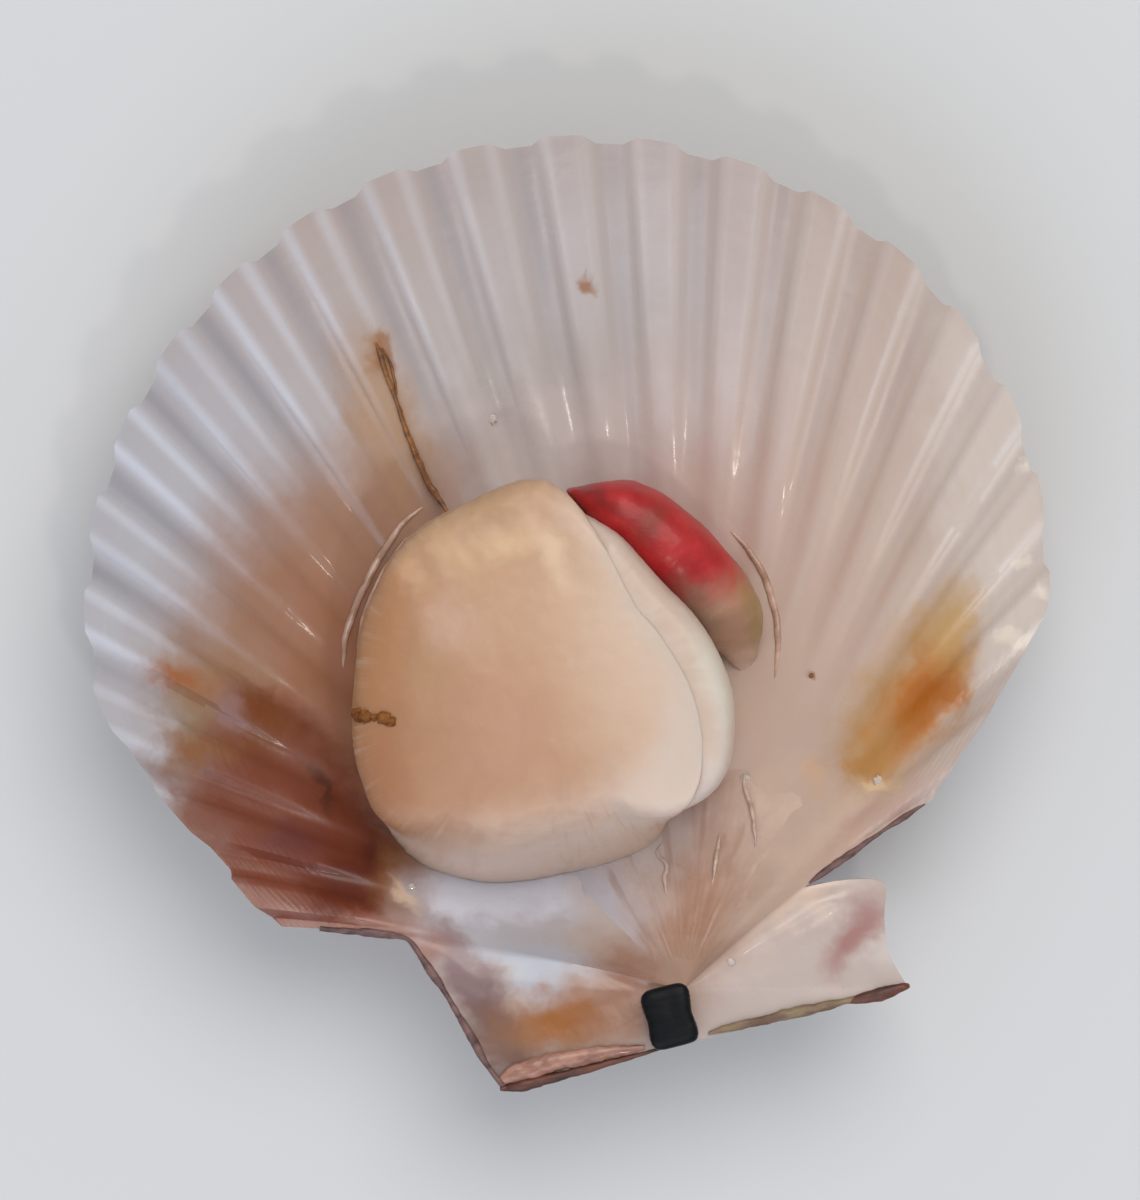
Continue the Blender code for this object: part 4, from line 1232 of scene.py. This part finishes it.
def line_source(lines, height):
    """Lines of edges on the valve: each a row of (x, y, half width, lift) in millimetres, made smooth."""
    mesh = bmesh.new()
    layer = mesh.verts.layers.float.new("half_width")
    for points in lines:
        knots = [Vector(point) for point in points]
        count = KNOT_STEPS * (len(knots) - 1)
        before = None
        for index in range(count + 1):
            x, y, half_width, lift = spline(knots, (len(knots) - 1) * index / count) * MM
            vertex = mesh.verts.new(in_frame(x, y, height(x, y) + lift))
            vertex[layer] = max(half_width, 0.02 * MM)
            if before:
                mesh.edges.new((before, vertex))
            before = vertex
    return mesh


# Strands on the valve: x, y, half width and lift of each knot of a line, in millimetres.
HINGE_SKIN_LEFT = (
    ((-13.2, -2.9, 0.3, 0.1), (-12.0, -2.7, 0.62, 0.2), (-9.5, -2.6, 0.66, 0.2), (-7.0, -2.7, 0.55, 0.2),
     (-5.0, -2.9, 0.42, 0.15), (-3.4, -3.1, 0.15, 0.1)),
)
HINGE_SKIN_RIGHT = (
    ((0.9, -3.2, 0.1, 0.1), (2.4, -3.2, 0.26, 0.15), (5.0, -3.25, 0.32, 0.15), (7.6, -3.3, 0.36, 0.15),
     (9.8, -3.35, 0.26, 0.15), (11.4, -3.4, 0.15, 0.1)),
)
HINGE_EDGE_LINE = (
    ((-13.4, -3.4, 0.12, 0.0), (-12.0, -3.55, 0.36, 0.0), (-9.0, -3.55, 0.3, 0.0), (-6.0, -3.5, 0.22, 0.0),
     (-3.6, -3.45, 0.14, 0.0), (-2.4, -3.4, 0.1, 0.0)),
    ((10.0, -3.4, 0.1, 0.05), (11.4, -3.45, 0.36, 0.1), (13.2, -3.45, 0.42, 0.1), (14.5, -3.4, 0.2, 0.05)),
)
MANTLE_FOLDS = (
    ((-16.9, 26.0, 0.05, -0.05), (-16.1, 28.3, 0.22, 0.1), (-15.0, 30.0, 0.25, 0.15),
     (-13.6, 31.7, 0.25, 0.15), (-12.2, 33.2, 0.24, 0.15), (-10.6, 34.6, 0.2, 0.1),
     (-9.0, 35.4, 0.05, -0.05)),
    ((-15.6, 27.2, 0.05, 0.0), (-14.8, 29.0, 0.13, 0.3), (-13.5, 30.8, 0.14, 0.4), (-12.0, 32.4, 0.13, 0.4),
     (-10.6, 33.6, 0.05, 0.3)),
    ((10.2, 29.4, 0.05, -0.1), (11.4, 27.4, 0.2, 0.0), (12.1, 25.0, 0.26, 0.0), (12.2, 22.4, 0.26, 0.0),
     (11.7, 20.0, 0.2, 0.0), (10.8, 17.6, 0.05, -0.1)),
)
TISSUE_STRANDS = (
    ((1.2, 9.7, 0.03, 0.25), (0.6, 9.0, 0.13, 0.36), (1.0, 8.1, 0.12, 0.36), (0.55, 7.2, 0.15, 0.36),
     (0.5, 6.2, 0.03, 0.25)),
    ((7.5, 12.8, 0.03, 0.3), (7.3, 11.6, 0.15, 0.42), (7.35, 10.2, 0.15, 0.42), (7.2, 8.9, 0.1, 0.38),
     (7.0, 7.9, 0.03, 0.3)),
    ((4.9, 9.2, 0.03, 0.25), (4.5, 8.2, 0.15, 0.36), (4.0, 7.2, 0.12, 0.36), (3.6, 6.2, 0.03, 0.25)),
)
GUT_THREAD = (
    ((-9.35, 46.6, 0.06, 0.05), (-9.2, 45.4, 0.2, 0.15), (-9.1, 43.6, 0.15, 0.15), (-8.9, 41.4, 0.16, 0.15),
     (-8.7, 39.2, 0.2, 0.2), (-8.3, 37.2, 0.24, 0.3), (-7.8, 35.4, 0.2, 0.6), (-7.5, 34.5, 0.1, 1.0)),
    ((-9.0, 46.2, 0.04, 0.05), (-8.7, 44.8, 0.1, 0.1), (-8.9, 43.0, 0.06, 0.1)),
)
# Small uneven balls: x, y and radius in millimetres, and the seed of its shape.
CRUMBS = (
    (-16.4, 22.9, 0.46, 1.0),
    (-15.9, 22.7, 0.44, 2.0),
    (-15.4, 22.5, 0.26, 3.0),
    (-14.8, 22.35, 0.44, 4.0),
    (-14.4, 22.0, 0.36, 5.0),
    (13.5, 18.0, 0.16, 7.0),
)
JUICE_BEADS = (
    (-3.1, 39.9, 0.34, 1.0),
    (3.5, 1.0, 0.26, 2.0),
    (7.5, 12.4, 0.3, 4.0),
    (16.0, 10.2, 0.36, 6.0),
    (-15.9, 10.9, 0.26, 8.0),
)


def edge_lines():
    """The dark skin that hems the left ear and the right shoulder."""
    left = [ear_edge(-1, along) / MM for along in (-0.9, -0.4, 0.1, 0.7, 1.4, 2.2, 3.1, 3.9)]
    start = [disc_place(-SHOULDER_ANGLE, reach) / MM for reach in (0.9, 0.82, 0.75)]
    left_hem = [(*point, 0.16 + 0.06 * (index % 3), 0.0) for index, point in enumerate(start + left)]
    right = [disc_place(SHOULDER_ANGLE, reach) / MM for reach in (0.52, 0.6, 0.7, 0.8, 0.88, 0.96)]
    right_hem = [(*point, width, 0.0) for point, width in zip(right, (0.1, 0.26, 0.22, 0.12, 0.2, 0.05))]
    return left_hem, right_hem


def flesh_piece(name, source, tree, material, seed, lump, fibre, grain):
    """A soft piece: lump, fibre and grain each give the size and the height of one kind of relief."""
    sizes = dict(zip(FLESH_SIZES, (*lump, *fibre, *grain)))
    return run_tree(name, source, tree, {**sizes, "Seed": seed, "Material": material})


def strand_piece(name, lines, height, material, tree, **values):
    """A piece of strands along lines on the valve: values stand in for the usual settings of the tree."""
    settings = {
        "Step": 0.25 * MM,
        "Flatness": 0.7,
        "Sides": 10,
        "Waver": 0.3 * MM,
        "Waver Size": 1.5 * MM,
        "Raggedness": 0.8,
        "Seed": 0.0,
        "Material": material,
    }
    settings.update({label.replace("_", " "): value for label, value in values.items()})
    return run_tree(name, line_source(lines, height), tree, settings)


def pebbles(rows, height, lift, flatness):
    """Uneven crumbs or beads: small balls pushed in and out by noise, on what is under them.

    Each stands on its middle, raised by lift of its radius, and flatness is its height for its width.
    """
    mesh = bmesh.new()
    for x, y, size, seed in rows:
        centre = in_frame(x * MM, y * MM, height(x * MM, y * MM) + lift * size * MM)
        made = bmesh.ops.create_icosphere(mesh, subdivisions=3, radius=1.0)
        for vertex in made["verts"]:
            push = 1.0 + 0.45 * noise.noise(vertex.co * 1.6 + Vector((seed, 0.0, 0.0)))
            push += 0.18 * noise.noise(vertex.co * 4.5 + Vector((0.0, seed, 0.0)))
            vertex.co = centre + vertex.co * Vector((push, push, push * flatness)) * (size * MM)
    return mesh


# ---------------------------------------------------------------- properties


class ScallopSizes(bpy.types.PropertyGroup):
    """Sizes of the fine relief."""

    rib_height: FloatProperty(
        name="Rib height", description="Height of a rib at the margin", default=0.9 * MM, subtype="DISTANCE"
    )
    rim_scallop: FloatProperty(
        name="Rim scallop", description="How far a rib's end stands out", default=0.25 * MM,
        subtype="DISTANCE",
    )
    outside_rib_height: FloatProperty(
        name="Outside rib height", description="Height of the ribs outside", default=0.5 * MM,
        subtype="DISTANCE",
    )
    growth_line_count: FloatProperty(
        name="Growth line count", description="Count of growth lines from the umbo to the margin",
        default=64.0,
    )
    growth_line_depth: FloatProperty(
        name="Growth line depth", description="Depth of a growth line", default=0.018 * MM, subtype="DISTANCE"
    )
    unevenness: FloatProperty(
        name="Unevenness", description="How much the inner face swells", default=0.35 * MM, subtype="DISTANCE"
    )
    fibre_spacing: FloatProperty(
        name="Fibre spacing", description="Spacing of the muscle's fibres", default=0.45 * MM,
        subtype="DISTANCE",
    )


class ScallopColours(bpy.types.PropertyGroup):
    """The stage's colour."""

    floor: FloatVectorProperty(
        name="Floor", description="Colour of the floor", size=4, subtype="COLOR", default=colour("D0D2D3")
    )


# ---------------------------------------------------------------- operators


class SCALLOP_OT_valve(bpy.types.Operator):
    """Makes the ribbed valve"""

    bl_idname = "scallop.valve"
    bl_label = "Valve"

    def execute(self, context):
        sizes = context.scene.scallop_sizes
        values = {label: getattr(sizes, label.lower().replace(" ", "_")) for label in VALVE_SIZES}
        values["Umbo"] = (UMBO.x, UMBO.y, 0.0)
        values["Inside Material"] = valve_inside_material()
        values["Outside Material"] = valve_outside_material()
        valve = run_tree("valve", valve_source(), valve_tree(), values)
        valve.data.set_sharp_from_angle(angle=math.radians(VALVE_CREASE_ANGLE))
        hand_over(valve, "valve_calcite", "scallop_valve")
        return {"FINISHED"}


class SCALLOP_OT_meat(bpy.types.Operator):
    """Makes the striated muscle, the catch muscle and the coral"""

    bl_idname = "scallop.meat"
    bl_label = "Meat"

    def execute(self, context):
        sizes = context.scene.scallop_sizes
        tree = flesh_tree()
        # Striated muscle, shucked: peach cream, translucent for a millimetre or two, with a moist bloom.
        muscle_flesh = flesh_material(
            "muscle_raw_moist", ("AF8669", "C29C80"), MUSCLE_TONES, (0.38, 0.55), 0.8 * MM, 0.05 * MM,
            streaks=("BE9E8A", "CBB4A4", 0.8 * MM), inner="CBB2A0", Subsurface_Weight=0.35,
            Subsurface_Scale=1.0, Subsurface_Radius=(2.2 * MM, 1.2 * MM, 0.7 * MM), IOR=1.4, Coat_Weight=0.15,
            Coat_Roughness=0.25,
        )
        muscle = flesh_piece(
            "striated_muscle", muscle_source(), tree, muscle_flesh, 3.0, lump=(3.0 * MM, 0.5 * MM),
            fibre=(sizes.fibre_spacing, 0.22 * MM), grain=(0.9 * MM, 0.09 * MM),
        )
        hand_over(muscle, "striated_flesh", "adductor_muscle")
        # Catch muscle: tighter, opaque white with a faint green cast.
        white = flesh_material(
            "catch_muscle_raw_moist", ("C9B8AA", "D4C6BA"), CATCH_TONES, (0.32, 0.5), 0.6 * MM, 0.03 * MM,
            inner="C6A48B", Subsurface_Weight=0.25, Subsurface_Scale=1.0,
            Subsurface_Radius=(1.4 * MM, 1.0 * MM, 0.7 * MM), IOR=1.4, Coat_Weight=0.2, Coat_Roughness=0.2,
        )
        band = flesh_piece(
            "catch_band", swept_source(catch_section, *CATCH_DIVISIONS), tree, white, 5.0,
            lump=(2.0 * MM, 0.1 * MM), fibre=(0.5 * MM, 0.08 * MM), grain=(0.5 * MM, 0.02 * MM),
        )
        hand_over(band, "white_flesh", "catch_muscle")
        # Coral: roe in a thin wet skin, deep red, its root tan.
        roe = flesh_material(
            "coral_raw_wet", ("A01318", "BC2A2A"), CORAL_TONES, (0.34, 0.55), 0.35 * MM, 0.03 * MM,
            Subsurface_Weight=0.25, Subsurface_Scale=1.0, Subsurface_Radius=(1.2 * MM, 0.3 * MM, 0.2 * MM),
            IOR=1.4, Coat_Weight=0.15, Coat_Roughness=0.2,
        )
        coral = flesh_piece(
            "coral_crescent", swept_source(coral_section, *CORAL_DIVISIONS), tree, roe, 8.0,
            lump=(1.6 * MM, 0.35 * MM), fibre=(1.0 * MM, 0.05 * MM), grain=(0.4 * MM, 0.04 * MM),
        )
        hand_over(coral, "roe", "coral")
        return {"FINISHED"}


class SCALLOP_OT_hinge(bpy.types.Operator):
    """Makes the ligament and the skin along the hinge"""

    bl_idname = "scallop.hinge"
    bl_label = "Hinge"

    def execute(self, context):
        height = ground()
        # Ligament: black resilin-like rubber, torn across, with a bluish satin sheen.
        horn = skin_material(
            "ligament_torn_satin", "030405", "090C11", 0.5 * MM, 0.42, IOR=1.45, Specular_IOR_Level=0.2
        )
        mesh = bmesh.new()
        bmesh.ops.create_cube(mesh, size=2.0)
        bmesh.ops.subdivide_edges(mesh, edges=mesh.edges, cuts=LIGAMENT_CUTS, use_grid_fill=True)
        centre = (LIGAMENT_LOW + LIGAMENT_HIGH) / 2
        half = (LIGAMENT_HIGH - LIGAMENT_LOW) / 2
        for vertex in mesh.verts:
            unit = vertex.co.copy()
            unit /= sum(abs(part) ** LIGAMENT_SQUARENESS for part in unit) ** (1 / LIGAMENT_SQUARENESS)
            waist = 0.9 + 0.1 * min(abs(unit.y) * 1.4, 1.0)
            ridge = 1.0 + 0.008 * math.sin(unit.y * 40.0) + 0.05 * noise.noise(unit * 1.6)
            vertex.co = centre + Vector(
                (unit.x * half.x * waist * ridge, unit.y * half.y, unit.z * half.z * ridge)
            )
            vertex.co.z = max(vertex.co.z, LIGAMENT_LOW.z - LIGAMENT_SINK)
            if unit.z < -0.5:
                vertex.co.z -= LIGAMENT_SINK
        ligament = add_mesh_object("ligament_block", mesh, horn)
        hand_over(ligament, "ligament_black", "inner_ligament")

        strands = strand_tree()
        # Periostracum: thin horny skin, dried salmon to brown at the left, olive to brown at the right.
        salmon = skin_material("periostracum_salmon", "7C4E40", "B0826E", 0.8 * MM, 0.35, Coat_Weight=0.3)
        olive = skin_material("periostracum_olive", "64483A", "8A7658", 0.9 * MM, 0.5)
        brown = skin_material("periostracum_brown", "3A1E16", "6A3A2A", 0.8 * MM, 0.45)
        mauve = skin_material("periostracum_mauve", "4A3230", "7A5A56", 0.8 * MM, 0.5)
        left = strand_piece(
            "hinge_skin_left", HINGE_SKIN_LEFT, height, salmon, strands, Flatness=0.55, Waver=0.35 * MM,
            Raggedness=0.9, Seed=2.0,
        )
        hand_over(left, "hinge_skin_orange", "hinge_strip_left")
        right = strand_piece(
            "hinge_skin_right", HINGE_SKIN_RIGHT, height, olive, strands, Waver=0.25 * MM, Raggedness=0.9,
            Seed=4.0,
        )
        hand_over(right, "hinge_skin_olive", "hinge_strip_right")
        line = strand_piece(
            "hinge_edge_line", HINGE_EDGE_LINE, height, brown, strands, Flatness=0.8, Waver=0.2 * MM, Seed=6.0
        )
        hand_over(line, "hinge_skin_orange")
        hem = strand_piece(
            "edge_skin", edge_lines(), height, mauve, strands, Flatness=0.9, Waver=0.2 * MM, Seed=9.0
        )
        hand_over(hem, "hinge_skin_orange")
        return {"FINISHED"}


class SCALLOP_OT_remains(bpy.types.Operator):
    """Makes the mantle folds, tissue strands, gut thread and crumbs that are left in the cup"""

    bl_idname = "scallop.remains"
    bl_label = "Remains"

    def execute(self, context):
        height = ground()
        strands = strand_tree()
        # Mantle edge: a thin wet membrane, paler and glossier than what it lies on.
        membrane = skin_material(
            "mantle_membrane_wet", "9A745E", "C2A08E", 1.6 * MM, 0.24, Coat_Weight=0.4, Coat_Roughness=0.1
        )
        folds = strand_piece(
            "mantle_folds", MANTLE_FOLDS, height, membrane, strands, Flatness=0.5, Waver=0.25 * MM,
            Raggedness=0.4, Seed=1.0,
        )
        hand_over(folds, "white_flesh")
        # Connective tissue: slimy pinkish strands that pull from the muscle to the hinge.
        slime = flesh_material(
            "tissue_film_slimy", ("AE8E7E", "BBA093"), FILM_TONES, (0.2, 0.4), 0.7 * MM, 0.03 * MM,
            streaks=("9C7662", "CDBDB4", 1.1 * MM), Subsurface_Weight=0.2, Subsurface_Scale=1.0,
            Subsurface_Radius=(1.2 * MM, 0.7 * MM, 0.5 * MM), IOR=1.38, Coat_Weight=0.5, Coat_Roughness=0.08,
        )
        film = flesh_piece(
            "tissue_film", film_source(height), flesh_tree(), slime, 4.0, lump=(2.2 * MM, 0.3 * MM),
            fibre=(0.8 * MM, 0.28 * MM), grain=(0.5 * MM, 0.02 * MM),
        )
        hand_over(film, "striated_flesh")
        sheen = skin_material(
            "tissue_strand_slimy", "AD9080", "D0BBAE", 1.0 * MM, 0.16, Coat_Weight=0.6, Coat_Roughness=0.05
        )
        shreds = strand_piece(
            "tissue_strands", TISSUE_STRANDS, height, sheen, strands, Waver=0.5 * MM, Seed=7.0
        )
        hand_over(shreds, "striated_flesh")
        # Gut: a limp brown thread, opaque.
        gut = skin_material("gut_thread_brown", "5E3412", "925C22", 0.8 * MM, 0.4, Coat_Weight=0.2)
        thread = strand_piece(
            "gut_thread", GUT_THREAD, height, gut, strands, Flatness=0.8, Waver=0.35 * MM, Raggedness=1.2,
            Seed=3.0,
        )
        hand_over(thread, "hinge_skin_orange")
        # Crumbs: dry brown bits of gut stuck to the muscle's left edge.
        crust = skin_material("crumb_brown", "643818", "8E5A2C", 0.5 * MM, 0.8, Specular_IOR_Level=0.2)
        crumbs = add_mesh_object(
            "crumbs", pebbles(CRUMBS, ground("valve", "striated_muscle"), 0.1, 0.55), crust
        )
        hand_over(crumbs, "hinge_skin_orange")
        # Juice: beads held by the film of wet on everything, half clear; their pale colour is a painted
        # highlight, standing in for glints.
        juice, _, surface = new_material("juice_clouded", Roughness=0.04, IOR=1.34, Transmission_Weight=0.5)
        surface.inputs["Base Color"].default_value = colour("EFE6DE")
        covered = ground("valve", "striated_muscle", "tissue_film", "ligament_block")
        beads = add_mesh_object("juice_beads", pebbles(JUICE_BEADS, covered, 0.05, 0.4), juice)
        hand_over(beads, "white_flesh")
        return {"FINISHED"}


class SCALLOP_OT_stage(bpy.types.Operator):
    """Makes the floor, the lights and the camera"""

    bl_idname = "scallop.stage"
    bl_label = "Stage"

    def execute(self, context):
        scene = context.scene
        centre = (CAD_BOX[0] + CAD_BOX[1]) / 2
        material, _, surface = new_material("floor_matt", Roughness=0.7)
        surface.inputs["Base Color"].default_value = scene.scallop_colours.floor
        mesh = bmesh.new()
        bmesh.ops.create_grid(mesh, x_segments=1, y_segments=1, size=FLOOR_HALF_SIDE)
        floor = add_mesh_object("floor", mesh, material)

        scene.view_settings.view_transform = "Standard"
        world = bpy.data.worlds.new("studio")
        world.use_nodes = True
        sky = world.node_tree.nodes["Background"]
        sky.inputs["Color"].default_value = colour("E6EAF0")
        sky.inputs["Strength"].default_value = WORLD_STRENGTH
        scene.world = world
        for name, place, size, power, tint in LIGHTS:
            lamp = bpy.data.lights.new(name, "AREA")
            lamp.shape = "DISK"
            lamp.size = size
            lamp.energy = power
            lamp.color = colour(tint)[:3]
            light = bpy.data.objects.new(name, lamp)
            light.location = centre + Vector(place)
            light.rotation_euler = (-Vector(place)).to_track_quat("-Z", "Y").to_euler()
            scene.collection.objects.link(light)

        lens = bpy.data.cameras.new("camera")
        lens.sensor_width = CAMERA_SENSOR
        lens.lens = CAMERA_SENSOR * CAMERA_DISTANCE / CAMERA_SPAN
        camera = bpy.data.objects.new("camera", lens)
        camera.location = centre + Vector((0.0, 0.0, CAMERA_DISTANCE))
        camera.rotation_euler = (0.0, 0.0, math.radians(CAMERA_TURN))
        scene.collection.objects.link(camera)
        scene.camera = camera
        return {"FINISHED"}


class SCALLOP_PT_panel(bpy.types.Panel):
    """Lists what the scallop is made of"""

    bl_idname = "SCALLOP_PT_panel"
    bl_label = "Scallop"
    bl_space_type = "VIEW_3D"
    bl_region_type = "UI"
    bl_category = "Scallop"

    def draw(self, context):
        for group in (context.scene.scallop_sizes, context.scene.scallop_colours):
            for name in group.bl_rna.properties.keys():
                if name not in ("rna_type", "name"):
                    self.layout.prop(group, name)
        for operator in OPERATORS:
            self.layout.operator(operator.bl_idname)


OPERATORS = (SCALLOP_OT_valve, SCALLOP_OT_meat, SCALLOP_OT_hinge, SCALLOP_OT_remains, SCALLOP_OT_stage)
CLASSES = (ScallopSizes, ScallopColours, *OPERATORS, SCALLOP_PT_panel)


def register():
    for cls in CLASSES:
        bpy.utils.register_class(cls)
    bpy.types.Scene.scallop_sizes = PointerProperty(type=ScallopSizes)
    bpy.types.Scene.scallop_colours = PointerProperty(type=ScallopColours)


def unregister():
    del bpy.types.Scene.scallop_colours
    del bpy.types.Scene.scallop_sizes
    for cls in reversed(CLASSES):
        bpy.utils.unregister_class(cls)


def main():
    register()
    bpy.ops.scallop.valve()
    bpy.ops.scallop.meat()
    bpy.ops.scallop.hinge()
    bpy.ops.scallop.remains()
    bpy.ops.scallop.stage()


if __name__ == "__main__":
    main()
